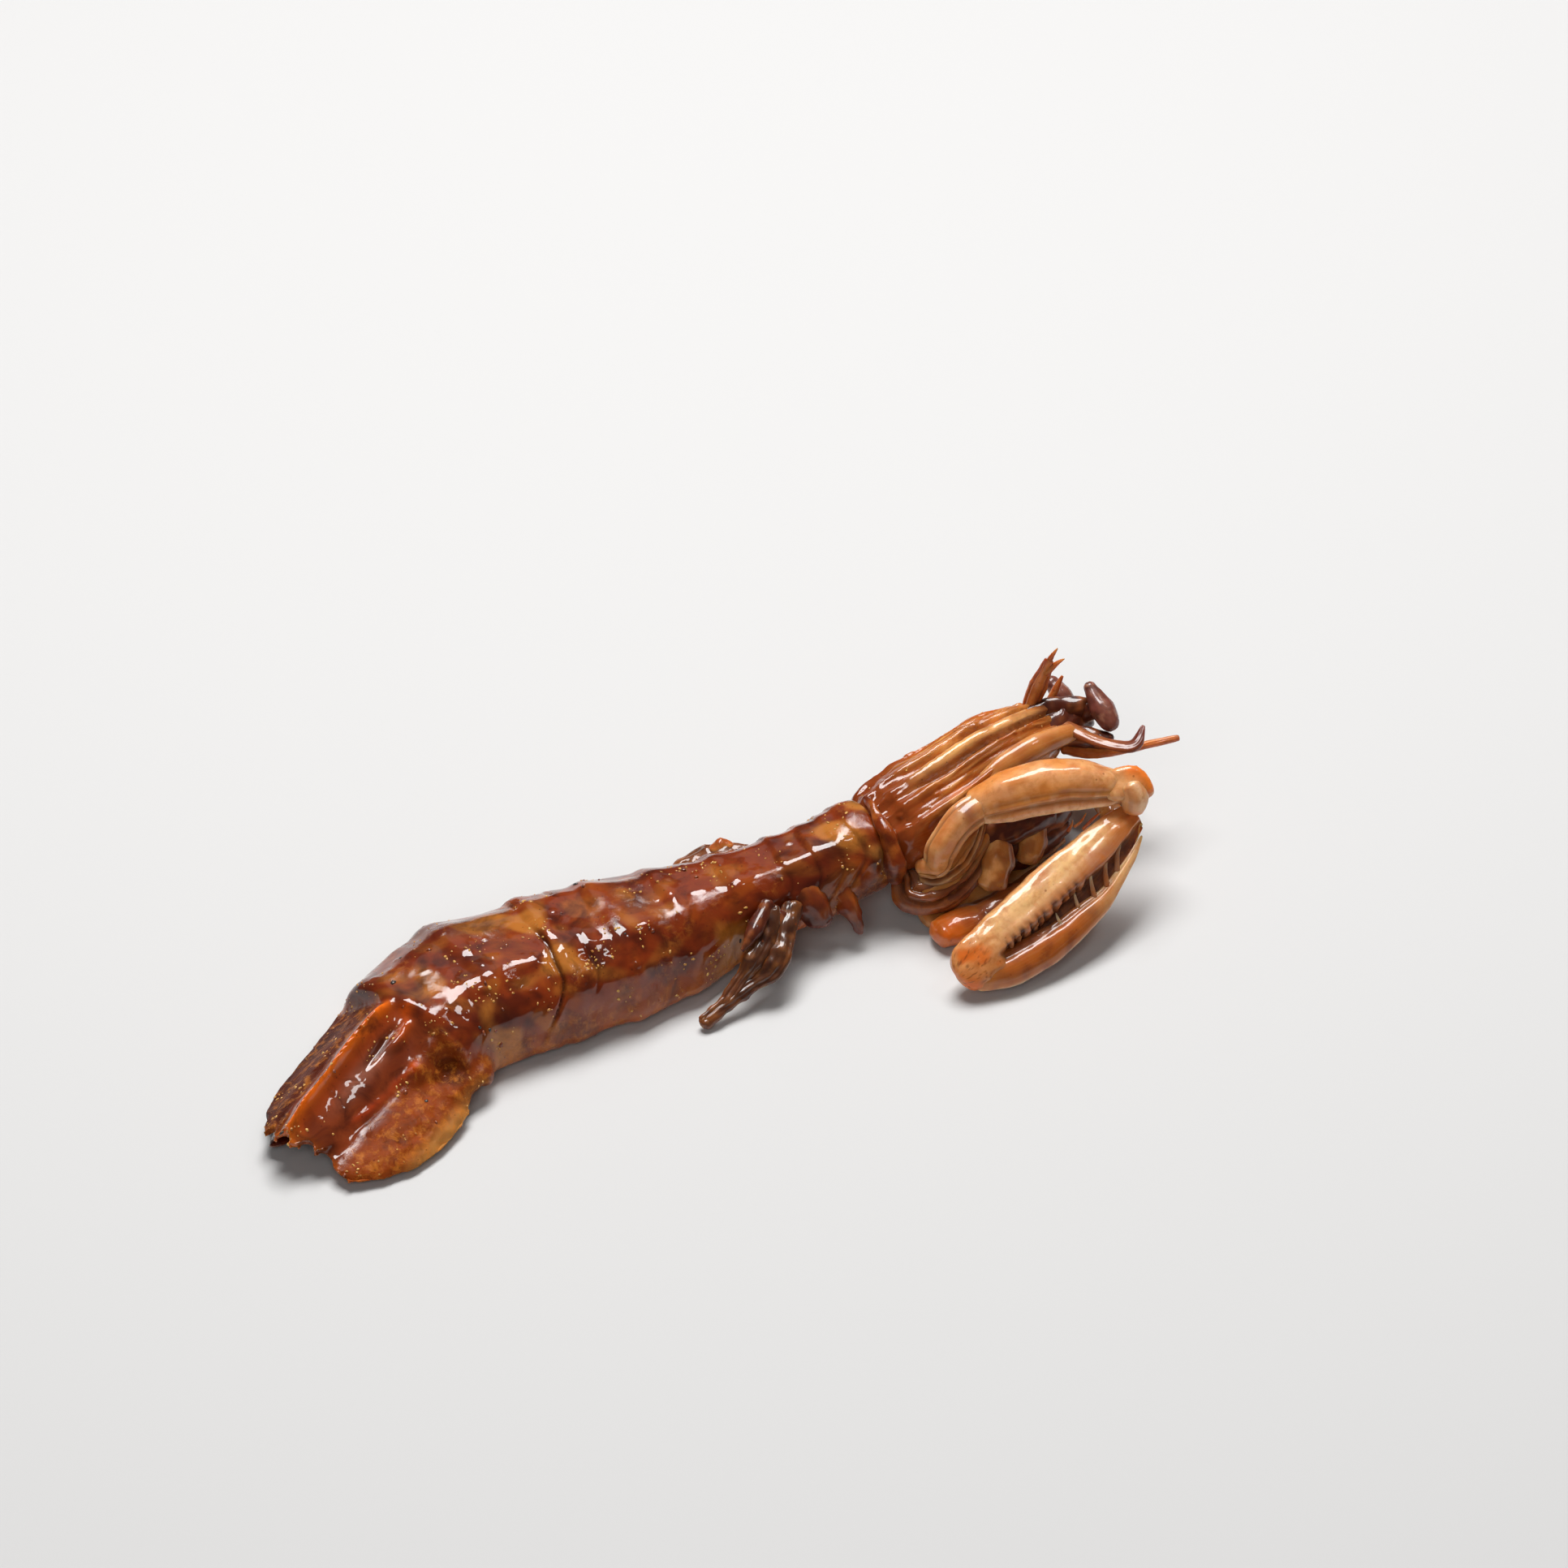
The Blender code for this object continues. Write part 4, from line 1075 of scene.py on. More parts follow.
finger = tube(
    "claw_right_finger",
    [in_claw(*spot) for spot in FINGER],
    (2.3, 2.9, 2.9, 2.4, 1.5, 0.8, 0.35),
    0.66,
    CLAW_FACING,
    ends=(0.9, 1.6),
    relief=finger_relief,
)
weather(finger, 37.0, 0.30, 0.06, 0.02)
along, turn = shares(finger)
places, _ = corners(finger)
paint(
    finger,
    "#94481a",
    (
        (around(turn, 0.5, 0.5) * 0.6, "#c4722e"),
        (around(turn, 0.16, 0.20) * 0.95, "#fadcb4"),
        (around(turn, 2.9, 0.5) * step(along, 0.25, 0.45) * 0.7, "#d8a070"),
        (around(turn, 1.6, 0.5) * 0.5, "#c4681e"),
        (around(turn, 2.6, 0.5) * (1 - step(along, 0.5, 0.8)) * 0.6, "#96481a"),
        (patches(places, 2.4, 71.0, 0.0, 0.4) * 0.6, "#7c3814"),
        (step(along, 0.50, 0.85) * 0.9, "#e0ae74"),
        ((1 - step(along, 0.05, 0.18)) * 0.5, "#cc8040"),
    ),
)
finish_piece(finger, BOILED_CLAW_SHELL, ("claw_right_dactyl",))

TEETH = (
    (11.5, 6.9, 2.6, 0.5),
    (15.5, 7.0, 3.3, 0.9),
    (19.5, 6.8, 3.7, 1.6),
    (23.0, 6.3, 4.2, 2.8),
    (26.0, 5.8, 4.4, 4.6),
    (29.0, 5.0, 4.2, 6.0),
)
TOOTH_CURVE = ((0.0, 0.0, 0.2), (0.40, 0.25, 0.7), (0.78, 0.62, 0.9), (1.0, 1.0, 0.7))
for number, (root, outward, reach, lean) in enumerate(TEETH):
    tooth_line = [in_claw(root + lean * ahead, outward - reach * down, rise) for down, ahead, rise in TOOTH_CURVE]
    article(
        "claw_right_tooth_" + str(number + 1),
        BOILED_CLAW_SHELL,
        (),
        (tooth_line, (0.48, 0.34, 0.22, 0.06), 0.6, CLAW_FACING),
        ("#a06a48", (stretch(0.2, 0.8, 0.9), "#e4bc98")),
        (),
        40.0 + number,
        (0.02, 0.02, 0.02),
        sides=20,
        ends=(0.5, 1.0),
    )

# %% [markdown]
# ### The other limbs
# The rest follow the same recipe, so a table of them reads more easily than a cell for each. Each row gives
# the article's middle line, its half widths, its thickness and facing, its colours and its grooves. The
# mouth legs are ribbons with pale bands between four lengthwise lines, and two broad ribbed plates stand
# behind the claw.

# %% Left claw, mouth legs and mouth
TAN_TONES = (
    "#be783a",
    (band(0.2, 0.5, 0.6), "#e0a468"),
    (band(2.6, 0.5, 0.5), "#d89454"),
    (patchy(3.0, 81.0, 0.0, 0.5, 0.5), "#984c1e"),
)
LEFT_PALM_TONES = (
    "#86401a",
    (band(1.2, 0.6, 0.5), "#a86030"),
    (stretch(0.78, 0.92, 0.95), "#d06414"),
    (patchy(3.0, 91.0, 0.0, 0.5, 0.4), "#7a3814"),
)
BAND_TONES = (
    "#945a2e",
    (band(0.80, 0.20, 0.9), "#e4b07a"),
    (band(1.60, 0.22, 0.8), "#c08850"),
    (band(2.60, 0.24, 0.9), "#ecc08c"),
    (patchy(4.0, 84.0, 0.0, 0.5, 0.6), "#5c2a14"),
)
FOOT_TONES = (*BAND_TONES, (lambda along, turn, places: (1 - step(along, 0.45, 0.75)) * 0.8, "#6c2a12"))
PLATE_TONES = (
    "#cc8640",
    # painted highlight: a paler band along the plates' raised line
    (band(1.8, 0.5, 0.6), "#ecb070"),
    (patchy(1.6, 87.0, 0.0, 0.4, 0.7), "#985422"),
    (band(0.3, 0.5, 0.8), "#7e3e18"),
    (band(2.9, 0.4, 0.8), "#8a4a20"),
)
BAND_LINES = (
    (1.20, 0.14, -0.9, -0.2, 1.2),
    (2.10, 0.18, -0.9, -0.2, 1.2),
    (0.60, 0.10, -0.4, 0.3, 1.2),
    (1.60, 0.20, 0.3, -0.2, 1.2),
)
PLATE_LINES = ((1.6, 0.5, 0.25, 0.1, 0.9), (0.4, 0.25, -0.2, 0.1, 0.9), (2.7, 0.25, -0.2, 0.1, 0.9))
LEFT_PALM_LINES = ((0.9, 0.2, -0.35, 0.1, 0.8), (2.2, 0.25, -0.3, 0.1, 0.8))
FOOT_1 = ((42.4, -4.4, 7.4), (42.2, -6.8, 5.8), (46.4, -8.8, 6.0), (53.0, -8.0, 9.4), (59.6, -2.0, 14.4))
FOOT_2 = ((44.8, -6.2, 8.6), (46.8, -7.8, 9.0), (51.0, -8.0, 11.6), (55.6, -3.8, 15.2))
PLATE_1 = ((54.4, -10.8, 7.2), (56.0, -9.0, 9.4), (58.0, -5.4, 11.8), (61.4, -1.6, 13.6))
PLATE_2 = ((62.0, -7.2, 6.8), (63.6, -5.6, 9.2), (65.2, -2.8, 11.8), (67.4, 0.4, 15.0))
pale_articles = (
    (
        "claw_left_merus",
        (((56.0, 13.2, 4.6), (66.0, 14.6, 5.0), (75.6, 12.4, 5.4)), (2.8, 3.8, 3.0), 0.62, UP),
        TAN_TONES,
        ((0.8, 0.15, -0.5, 0.1, 0.95),),
    ),
    (
        "claw_left_carpus",
        (((77.6, 10.6, 5.4), (80.8, 5.0, 5.4), (79.6, -1.4, 5.2)), (2.5, 2.8, 2.2), 0.8, UP),
        TAN_TONES,
        (),
    ),
    (
        "claw_left_propodus",
        (((79.4, -3.6, 5.0), (60.0, -11.0, 3.2), (44.4, -13.6, 2.4)), (2.2, 2.8, 3.1, 2.8), 0.72, UP),
        LEFT_PALM_TONES,
        LEFT_PALM_LINES,
    ),
    (
        "claw_left_dactyl",
        (((44.0, -8.6, 1.9), (58.0, -5.4, 1.9), (71.0, -0.6, 2.6)), (2.0, 1.9, 0.6), 0.7, UP),
        TAN_TONES,
        (),
    ),
    ("maxilliped_right_1", (FOOT_1, (2.2, 2.8, 2.8, 2.2, 1.2), 0.6, CLAW_FACING), FOOT_TONES, BAND_LINES),
    ("maxilliped_right_2", (FOOT_2, (1.4, 1.8, 1.7, 1.2), 0.6, CLAW_FACING), BAND_TONES, BAND_LINES),
    ("maxilliped_plate_right_1", (PLATE_1, (2.5, 3.1, 1.9, 1.1), 0.55, CLAW_FACING), PLATE_TONES, PLATE_LINES),
    ("maxilliped_plate_right_2", (PLATE_2, (2.1, 2.6, 1.6, 1.0), 0.55, CLAW_FACING), PLATE_TONES, PLATE_LINES),
)
for number, (name, shape, tones, lines) in enumerate(pale_articles):
    rough = (0.5, 0.24, 0.12) if "plate" in name else (0.50, 0.22, 0.03)
    article(name + "_shell", BOILED_CLAW_SHELL, (name,), shape, tones, lines, 100.0 + 3 * number, rough)

# %% [markdown]
# The walking legs, the swimming flap, the head and the mouth parts are glazed dark. The long legs are flat
# and lumpy under their syrup, with two shallow grooves where the flesh has shrunk.

# %% Legs, flap, head and mouth
LEG_TONES = (
    "#56301a",
    (stretch(0.45, 0.8, 0.6), "#7c4624"),
    (patchy(2.4, 93.0, -0.1, 0.3, 0.7), "#2e130c"),
    (patchy(1.8, 95.0, 0.05, 0.4, 0.6), "#8e5426"),
    (band(0.1, 0.3, 0.6), "#9c5018"),
)
LOBE_TONES = (
    "#78300f",
    (patchy(2.4, 94.0, 0.0, 0.4, 0.7), "#a6561a"),
    (patchy(2.0, 96.0, 0.0, 0.4, 0.7), "#40140a"),
    (stretch(0.4, 0.9, 0.7), "#521a0c"),
)
HEAD_TONES = (
    "#5a2414",
    (patchy(2.4, 97.0, 0.0, 0.4, 0.6), "#35120b"),
    (patchy(1.8, 98.0, 0.1, 0.5, 0.5), "#a3602f"),
)
FLAP_TONES = (
    "#7a421c",
    (patchy(2.0, 99.0, 0.0, 0.4, 0.6), "#a8642c"),
    (patchy(1.5, 90.0, 0.1, 0.5, 0.6), "#3c180c"),
)
LEG_LINES = ((1.2, 0.14, -0.25, 0.55, 1.0), (2.0, 0.16, -0.20, 0.25, 0.9))
MOUTH_LINES = ((0.4, 0.2, -0.5, 0.1, 0.9), (1.2, 0.2, -0.5, 0.1, 0.9))
LEG_ROUGHNESS = (0.60, 0.32, 0.08)
LEG_OUTER = (
    (17.4, -7.0, 11.6),
    (15.9, -9.9, 9.4),
    (12.7, -12.5, 7.4),
    (9.8, -13.9, 5.4),
    (5.5, -15.9, 2.6),
    (1.9, -17.3, 1.4),
)
LEG_INNER = (
    (21.5, -6.8, 10.6),
    (19.3, -10.2, 9.2),
    (17.2, -13.1, 7.6),
    (14.8, -14.7, 5.8),
    (11.0, -15.0, 4.2),
    (6.4, -15.9, 2.9),
    (1.8, -17.3, 1.7),
)
RIGHT_LEG_2 = (((23.8, -3.0, 10.8), (25.4, -6.2, 8.4), (26.2, -7.4, 6.2)), (3.0, 2.8, 1.8), 0.7, CLAW_FACING)
RIGHT_LEG_3 = (((30.4, -3.2, 9.8), (31.4, -7.0, 7.0), (32.4, -9.2, 3.2)), (2.4, 1.7, 0.35), 0.8, CLAW_FACING)
LEFT_LEGS = (
    ((19.0, 7.0, 8.6), (17.0, 11.0, 5.6), (12.0, 15.0, 1.4)),
    ((26.0, 6.4, 9.0), (25.0, 11.0, 5.8), (20.0, 15.4, 1.4)),
    ((33.0, 7.0, 9.4), (32.4, 11.6, 6.0), (28.6, 16.0, 1.4)),
)
FLAP = (((8.8, 9.4, 9.2), (14.6, 9.6, 9.4), (20.0, 7.4, 10.4)), (1.4, 3.2, 2.0), 0.9, CLAW_FACING)
HEAD = (((71.5, 9.3, 17.0), (76.0, 9.2, 17.8), (79.4, 8.8, 18.4)), (4.3, 4.2, 2.6), 0.92, UP)
MOUTH = (((46.0, 3.0, 4.4), (58.0, 5.0, 6.0), (71.0, 7.6, 9.4)), (3.6, 4.8, 4.6, 3.4), 0.62, UP)
glazed_articles = [
    ("head", HEAD, HEAD_TONES, ()),
    ("mouth_parts", MOUTH, HEAD_TONES, MOUTH_LINES),
    ("leg_right_1", (LEG_OUTER, (1.6, 1.7, 1.5, 1.2, 1.2, 1.0), 0.55, CLAW_FACING), LEG_TONES, LEG_LINES),
    ("leg_right_2", RIGHT_LEG_2, LOBE_TONES, ()),
    ("leg_right_3", RIGHT_LEG_3, LOBE_TONES, ()),
]
for number, line in enumerate(LEFT_LEGS):
    glazed_articles.append(("leg_left_" + str(number + 1), (line, (1.6, 1.4, 0.7), 0.8, UP), LEG_TONES, LEG_LINES))
glazed_articles.append(("pleopod_left", FLAP, FLAP_TONES, ()))
for number, (name, shape, tones, lines) in enumerate(glazed_articles):
    rough = (0.8, 0.35, 0.10) if name == "pleopod_left" else LEG_ROUGHNESS
    article(name + "_shell", GLAZED_LEG_SHELL, (name,), shape, tones, lines, 130.0 + 3 * number, rough)
inner_shape = (LEG_INNER, (1.4, 1.8, 1.9, 1.8, 1.5, 1.4, 1.1), 0.55, CLAW_FACING)
article("leg_right_1_inner_branch", GLAZED_LEG_SHELL, (), inner_shape, LEG_TONES, LEG_LINES, 171.0, LEG_ROUGHNESS)

# %% [markdown]
# ### Antennae and eyes
# The feelers boil to a bright orange horn that light passes through. The eyes are dark lobes that lie
# across the ends of short stalks.

# %% Antennae and eyes
HORN_TONES = (
    "#b9642a",
    (band(1.5, 0.5, 0.5), "#dd9650"),
    (patchy(2.0, 111.0, 0.0, 0.5, 0.5), "#7e3012"),
)
SCALE_TONES = ("#8e4a24", (stretch(0.5, 0.9, 0.9), "#5a1a10"), (band(1.5, 0.5, 0.5, -0.2, 0.5), "#b8743c"))
EYE_TONES = (
    "#743a2e",
    (band(1.5, 0.6, 0.4), "#9a6450"),
    (patchy(1.4, 113.0, 0.0, 0.4, 0.6), "#44201a"),
    (patchy(0.9, 114.0, 0.2, 0.5, 0.5), "#b88468"),
)
FEELER_LINES = ((1.5, 0.3, 0.25, 0.0, 1.0), (0.7, 0.2, -0.25, 0.1, 0.9), (2.4, 0.2, -0.25, 0.1, 0.9))
FEELER = (((70.6, 11.4, 20.4), (72.4, 11.3, 25.0), (74.0, 11.0, 29.6)), (1.2, 1.5, 0.8), 0.5, CLAW_FACING)
ANTENNA = (((74.6, 5.4, 16.4), (79.5, 1.2, 16.4), (91.2, -0.6, 16.8)), (1.8, 0.9, 0.6), 0.8, UP)
SCALE_LINE = ((74.6, 5.4, 20.0), (78.6, 0.4, 19.4), (82.6, -2.4, 19.4), (85.2, -0.6, 21.2))
RIGHT_EYE = (((80.2, 8.4, 23.9), (80.7, 5.4, 22.0), (80.9, 3.2, 20.6)), (1.4, 1.95, 1.6), 0.85, UP)
LEFT_EYE = (((77.0, 16.2, 19.8), (77.8, 14.6, 18.8), (78.4, 13.0, 17.4)), (1.36, 1.8, 1.45), 0.9, UP)
head_articles = (
    ("antennule_left", BOILED_HORN, FEELER, HORN_TONES, FEELER_LINES),
    ("antenna_right", BOILED_HORN, ANTENNA, HORN_TONES, ((1.5, 0.3, 0.15, 0.0, 1.0),)),
    ("antennal_scale_right", BOILED_HORN, (SCALE_LINE, (1.3, 1.2, 1.2, 0.3), 0.5, UP), SCALE_TONES, ()),
    ("eye_right", BOILED_EYE, RIGHT_EYE, EYE_TONES, ()),
    ("eye_left", BOILED_EYE, LEFT_EYE, EYE_TONES, ()),
)
for number, (name, material, shape, tones, lines) in enumerate(head_articles):
    round_end, rough = (1.0, (0.45, 0.12, 0.05)) if material == BOILED_EYE else (0.5, (0.2, 0.08, 0.06))
    seed = 190.0 + 3 * number
    article(name + "_shell", material, (name,), shape, tones, lines, seed, rough, ends=(round_end, round_end))

# %% [markdown]
# ### Small parts
# Thin and small forms come last: stalks, tips and bristles, two bands of the mouth legs, the fold of the
# wrist, dark lobes in the shade of the mouth, the web of the split leg, and the collar of syrup that has
# pooled in the joint behind the shield.

# %% Small parts
DARK_TONES = (
    "#54200f",
    (patchy(1.8, 117.0, 0.0, 0.4, 0.7), "#a05a2c"),
    (patchy(1.5, 118.0, 0.1, 0.5, 0.7), "#2a0e0a"),
)
FOLD_TONES = (
    "#d89a64",
    (band(2.2, 0.4, 0.7), "#f4cca0"),
    (band(1.3, 0.12, 0.6), "#9c6444"),
    (band(0.2, 0.35, 0.8), "#e8a070"),
    (stretch(0.72, 1.0, 0.9), "#d46c1c"),
    (patchy(1.6, 121.0, 0.1, 0.5, 0.5), "#c87838"),
)
POOL_TONES = (
    "#7e300e",
    (patchy(2.4, 123.0, 0.0, 0.5, 0.6), "#b05a1e"),
    (patchy(2.8, 125.0, 0.1, 0.5, 0.6), "#481408"),
)
DARK = (GLAZED_LEG_SHELL, DARK_TONES)
TAN = (BOILED_CLAW_SHELL, TAN_TONES)
HORN = (BOILED_HORN, HORN_TONES)
FOLD = (BOILED_CLAW_SHELL, FOLD_TONES)
POOL = (SOY_GLAZED_SHELL, POOL_TONES)
SHIELD_SIDE = ((55.4, -0.2, 17.6), (61.0, 1.2, 19.4), (68.0, 2.8, 20.2), (75.0, 4.4, 19.6))
SHIELD_SEAM = (
    (39.4, 5.2, 17.4),
    (39.5, 2.0, 17.8),
    (39.6, -0.9, 17.1),
    (39.8, -3.6, 15.3),
    (40.2, -5.2, 12.0),
    (40.4, -4.6, 8.4),
)
OUTER_BAND = ((43.4, -7.0, 6.8), (45.6, -8.8, 7.2), (49.6, -9.2, 8.6), (54.4, -6.9, 11.8), (58.0, -3.8, 14.8))
INNER_BAND = ((46.4, -8.0, 10.2), (49.4, -7.9, 11.4), (52.4, -6.9, 13.6), (55.6, -4.2, 16.4))
WRIST_FOLD = ((77.2, -13.0, 20.9), (77.6, -13.9, 19.2), (77.3, -14.2, 17.2))
small_articles = (
    ("rostrum_gloss", DARK, (1.5, 1.7, 1.2), ((69.6, 10.2, 20.0), (75.0, 9.4, 21.2), (80.6, 7.4, 20.8))),
    ("eye_right_stalk", DARK, (1.7, 1.3), ((78.4, 8.0, 19.4), (80.4, 6.0, 21.4))),
    ("eye_left_stalk", DARK, (1.1, 1.2), ((76.2, 10.4, 18.0), (77.8, 14.4, 18.8))),
    ("antennal_base", DARK, (1.8, 1.7, 1.0), ((73.6, 5.6, 18.6), (77.4, 3.6, 18.4), (80.6, 1.6, 18.2))),
    ("shield_side_lobe", TAN, (1.0, 1.8, 2.0, 1.4), SHIELD_SIDE),
    ("antennule_tip_long", HORN, (0.7, 0.45, 0.15), ((73.6, 11.0, 28.6), (74.4, 10.9, 30.4), (75.4, 10.8, 31.9))),
    ("antennule_tip_short", HORN, (0.7, 0.4, 0.12), ((73.4, 10.8, 27.6), (75.0, 10.5, 29.0), (76.4, 10.3, 29.8))),
    ("antennule_right", HORN, (0.7, 0.6, 0.25), ((74.0, 11.8, 19.4), (75.6, 12.0, 22.4), (76.8, 12.0, 24.8))),
    ("mouth_lobe_front", DARK, (3.6, 4.0, 2.4), ((62.0, -1.6, 9.4), (68.0, -1.2, 11.0), (73.6, 1.6, 13.4))),
    ("mouth_lobe_low", DARK, (3.2, 3.8, 2.4), ((54.0, -3.0, 7.0), (62.0, -3.6, 6.6), (70.0, -2.2, 8.0))),
    ("syrup_behind_shield", POOL, (0.6, 1.0, 1.3, 1.7, 2.0, 1.4), SHIELD_SEAM),
    ("mouth_lobe_upper", DARK, (2.4, 3.0, 2.4), ((55.0, -4.8, 11.6), (61.0, -4.8, 12.6), (67.0, -4.2, 12.6))),
    ("maxilliped_band_outer", TAN, (0.5, 0.7, 0.7, 0.7, 0.5), OUTER_BAND),
    ("maxilliped_band_inner", TAN, (0.5, 0.7, 0.7, 0.5), INNER_BAND),
    ("claw_right_carpus_fold", FOLD, (1.8, 2.3, 1.7), WRIST_FOLD),
    ("leg_right_1_side_branch", DARK, (1.4, 1.2, 0.4), ((17.6, -6.8, 12.2), (13.8, -9.9, 10.5), (10.8, -11.9, 9.2))),
    ("leg_right_1_web", DARK, (2.0, 1.7, 0.9), ((18.8, -7.4, 9.8), (17.0, -10.8, 8.0), (14.4, -13.2, 6.4))),
    ("flap_bump", HORN, (1.5, 1.4), ((16.4, 9.4, 11.4), (17.4, 9.2, 11.6))),
    ("bristle_1", HORN, (0.3, 0.24, 0.08), ((69.4, -9.2, 12.4), (70.4, -9.8, 13.8), (70.8, -10.4, 15.6))),
    ("bristle_2", HORN, (0.3, 0.24, 0.08), ((70.8, -9.6, 11.8), (71.8, -10.2, 13.6), (73.2, -10.8, 15.4))),
    ("bristle_3", HORN, (0.26, 0.2, 0.08), ((68.4, -9.0, 11.8), (68.8, -9.6, 13.4), (68.6, -10.2, 14.9))),
)
SMALL_ROUGHNESS = {"syrup_behind_shield": (0.9, 0.25, 0.0), "flap_bump": (0.6, 0.5, 0.1)}
for number, (name, (material, tones), widths, points) in enumerate(small_articles):
    shape = (points, widths, 0.75, CLAW_FACING)
    usual = (0.45, 0.22, 0.06) if material == GLAZED_LEG_SHELL else (0.15, 0.04, 0.03)
    rough = SMALL_ROUGHNESS.get(name, usual)
    ends = (1.0, 1.0) if name == "flap_bump" else (0.5, 0.5)
    article(name, material, (), shape, tones, (), 240.0 + 3 * number, rough, sides=36, ends=ends)

# %% [markdown]
# ## What the syrup carries
# Crumbs of fried garlic, a few flakes of cracked pepper and small bubbles sit in the glaze. They are real
# grains, a fraction of a millimetre to a millimetre across, laid on the skin where its faces look up.
# Each kind is one mesh. Clusters come from the same noise as the glaze, and the seed keeps them in place.

# %% Grains on the glaze
import random


def grain_finish(name, dark, light, roughness, size):
    """A finish for grains: two colours mixed by noise over the object."""
    material, shader = blank(name)
    place = add(material, "TexCoord").outputs["Object"]
    colour = ramp(material, cloud(material, place, size, 3.0), (0.35, dark), (0.65, light))
    wet = {"Coat Weight": 0.8, "Coat Roughness": 0.06}
    connect(material, shader, {"Base Color": colour, "Roughness": roughness, **wet})
    return material


SINK = 0.55  # the share of a grain's height that lies in the glaze
CLEAR_OF_FLOOR = 1.5


def strew(name, target, material, count, sizes, flat, seed, cluster):
    """Grains on the target's upper faces. sizes are radii in millimetres, flat their height share."""
    mesh = target.data
    mesh.calc_loop_triangles()
    faces = [face for face in mesh.polygons if face.normal.z > -0.05]
    spots = np.array([face.center[:] for face in faces]) / MM
    weight = np.array([face.area for face in faces]) * step(lumps(spots, 5.0, seed), *cluster)
    weight *= spots[:, 2] > CLEAR_OF_FLOOR
    draw = random.Random(int(seed))
    picks = draw.choices(range(len(faces)), weights=weight.tolist(), k=count)
    shape = bmesh.new()
    for pick in picks:
        face = faces[pick]
        radius = draw.uniform(*sizes) * MM
        stretch_by = Vector((draw.uniform(0.7, 1.4), draw.uniform(0.6, 1.1), flat)) * radius
        turn = face.normal.to_track_quat("Z", "Y").to_matrix().to_4x4()
        spin = Matrix.Rotation(draw.uniform(0, 2 * pi), 4, "Z") @ Matrix.Rotation(draw.uniform(-0.5, 0.5), 4, "X")
        spot = Matrix.Translation(face.center + face.normal * radius * flat * (1 - 2 * SINK))
        made = bmesh.ops.create_icosphere(shape, subdivisions=1, radius=1.0)
        jolt = [vertex.co * draw.uniform(-0.22, 0.22) for vertex in made["verts"]]
        for vertex, move in zip(made["verts"], jolt):
            vertex.co += move
        laid = spot @ turn @ spin @ Matrix.Diagonal(stretch_by).to_4x4()
        bmesh.ops.transform(shape, matrix=laid, verts=made["verts"])
    bmesh.ops.recalc_face_normals(shape, faces=shape.faces[:])
    grains = mesh_from(name, shape)
    grains.shade_smooth()
    finish_piece(link(name, grains), material, ())


FRIED_GARLIC = grain_finish("fried_garlic_crumb", "#a8641c", "#e8b458", 0.5, 1.5)
CRACKED_PEPPER = grain_finish("cracked_pepper", "#120a08", "#3a2a20", 0.6, 0.8)
SYRUP_BUBBLE = grain_finish("syrup_bubble", "#5a1e0a", "#9a4a1c", 0.3, 1.0)
strew("garlic_crumbs_body", body, FRIED_GARLIC, 620, (0.08, 0.32), 0.55, 5.0, (0.0, 0.5))
strew("garlic_crumbs_shield", shield, FRIED_GARLIC, 70, (0.08, 0.22), 0.55, 11.0, (0.0, 0.5))
strew("pepper_flakes", body, CRACKED_PEPPER, 12, (0.25, 0.6), 0.35, 21.0, (-0.2, 0.5))
strew("syrup_bubbles", body, SYRUP_BUBBLE, 40, (0.22, 0.5), 0.6, 31.0, (0.0, 0.5))

# %% [markdown]
# ## Floor, light and camera
# The floor is a plain pale sheet. The key strip hangs almost overhead and a little behind, so that its broken
# reflection runs along the upper back. A dim back panel adds thin gleams on the far slopes, a small side
# diffuser gives the head its own, and a weak front fill, which makes no reflection, opens the shadows with
# a pale world. The camera looks down at 40 degrees, from 24 degrees to the left, with a long lens.

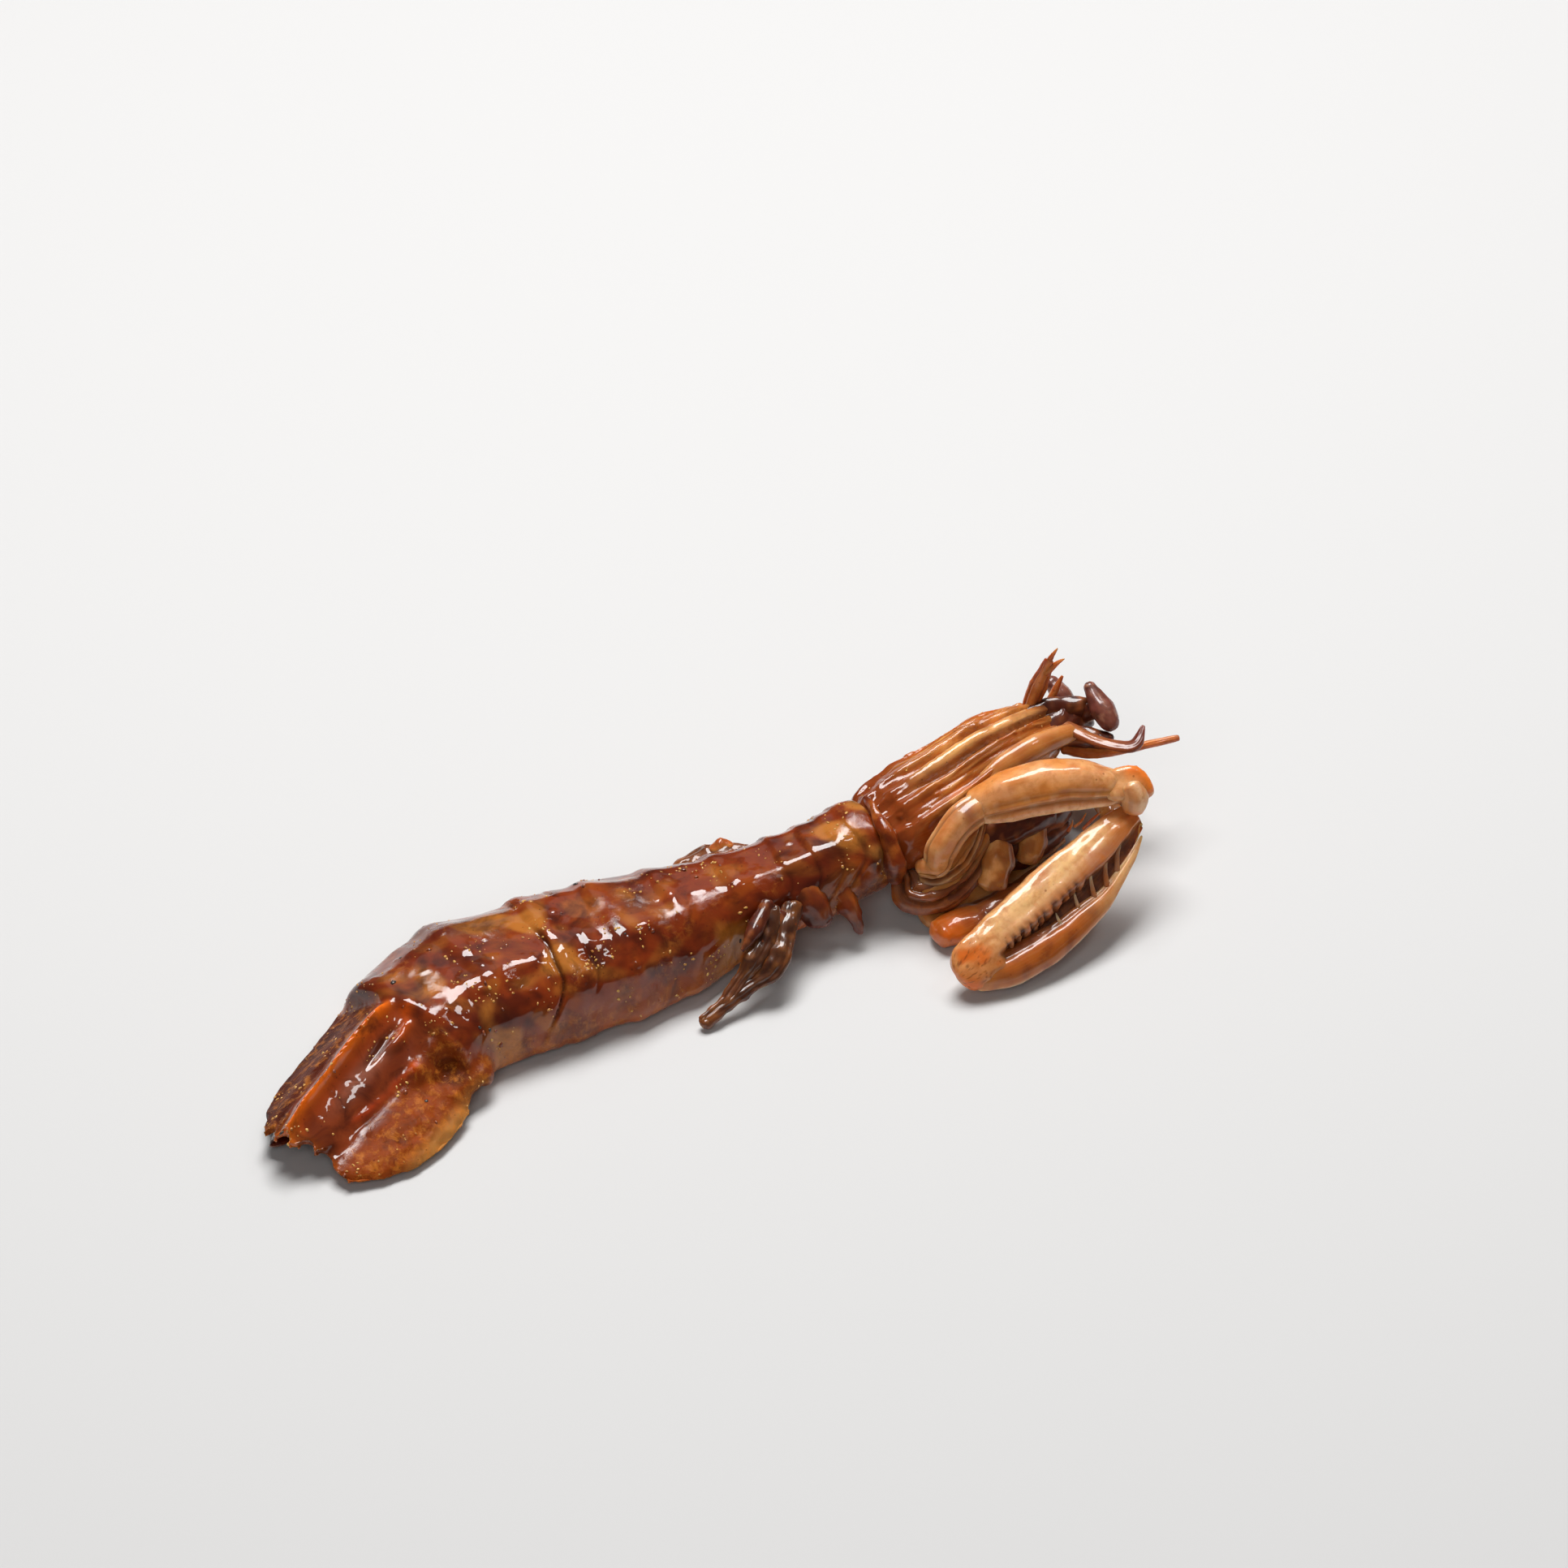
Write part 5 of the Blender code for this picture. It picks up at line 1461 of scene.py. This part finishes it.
# %% Floor
floor_shape = bmesh.new()
bmesh.ops.create_grid(floor_shape, x_segments=1, y_segments=1, size=4.0)
floor_mesh = mesh_from("floor", floor_shape)
floor = link("floor", floor_mesh)
floor_paint, floor_shader = blank("matt_white_board")
connect(floor_paint, floor_shader, {"Base Color": (*linear("#cfcecd"), 1.0), "Roughness": 0.9})
floor_mesh.materials.append(floor_paint)

# %% Lights
VIEW_TURN = -24.0 * pi / 180
VIEW_RISE = 40.0 * pi / 180
LOOK_AT = at((25.39, 4.81, 25.55)) * MM


def softbox(name, way, distance, size, watts, lie=(1.0, 0.0, 0.0)):
    """A soft panel in the given direction from the animal, facing it. Its first side lies along lie."""
    lamp = bpy.data.lights.new(name, "AREA")
    lamp.shape = "RECTANGLE"
    lamp.size, lamp.size_y = size
    lamp.energy = watts
    stand = link(name, lamp)
    way = Vector(way).normalized()
    side = (Vector(lie) - way * way.dot(Vector(lie))).normalized()
    stand.location = LOOK_AT + way * distance
    stand.rotation_euler = Matrix((side, way.cross(side), way)).transposed().to_euler()
    stand.visible_camera = False
    return stand


softbox("key_strip", (0.11, 0.33, 0.94), 0.9, (0.62, 0.38), 11.4, lie=(0.33, 0.14, -0.09))
softbox("back_panel", (0.31, 0.70, 0.64), 1.3, (0.9, 0.35), 0.35)
softbox("side_diffuser", (0.50, -0.11, 0.86), 1.2, (0.16, 0.11), 0.6)
softbox("front_fill", (-0.5, -0.8, 0.75), 1.4, (0.7, 0.5), 3.6).visible_glossy = False
world = bpy.data.worlds.new("pale_room")
world.use_nodes = True
world.node_tree.nodes["Background"].inputs["Color"].default_value = (*linear("#f2f3f5"), 1.0)
world.node_tree.nodes["Background"].inputs["Strength"].default_value = 0.07
bpy.context.scene.world = world
bpy.context.scene.view_settings.view_transform = "Standard"

# %% Camera
FRAME_WIDTH = 0.2473  # metres that the picture spans at the animal
lens = bpy.data.cameras.new("camera")
lens.lens = 800.0
lens.clip_end = 20.0
camera = link("camera", lens)
back = Vector((sin(VIEW_TURN) * cos(VIEW_RISE), -cos(VIEW_TURN) * cos(VIEW_RISE), sin(VIEW_RISE)))
camera.location = LOOK_AT + back * (FRAME_WIDTH * lens.lens / lens.sensor_width)
camera.rotation_euler = back.to_track_quat("Z", "Y").to_euler()
bpy.context.scene.camera = camera
print("camera stands", round((camera.location - LOOK_AT).length, 2), "m away")
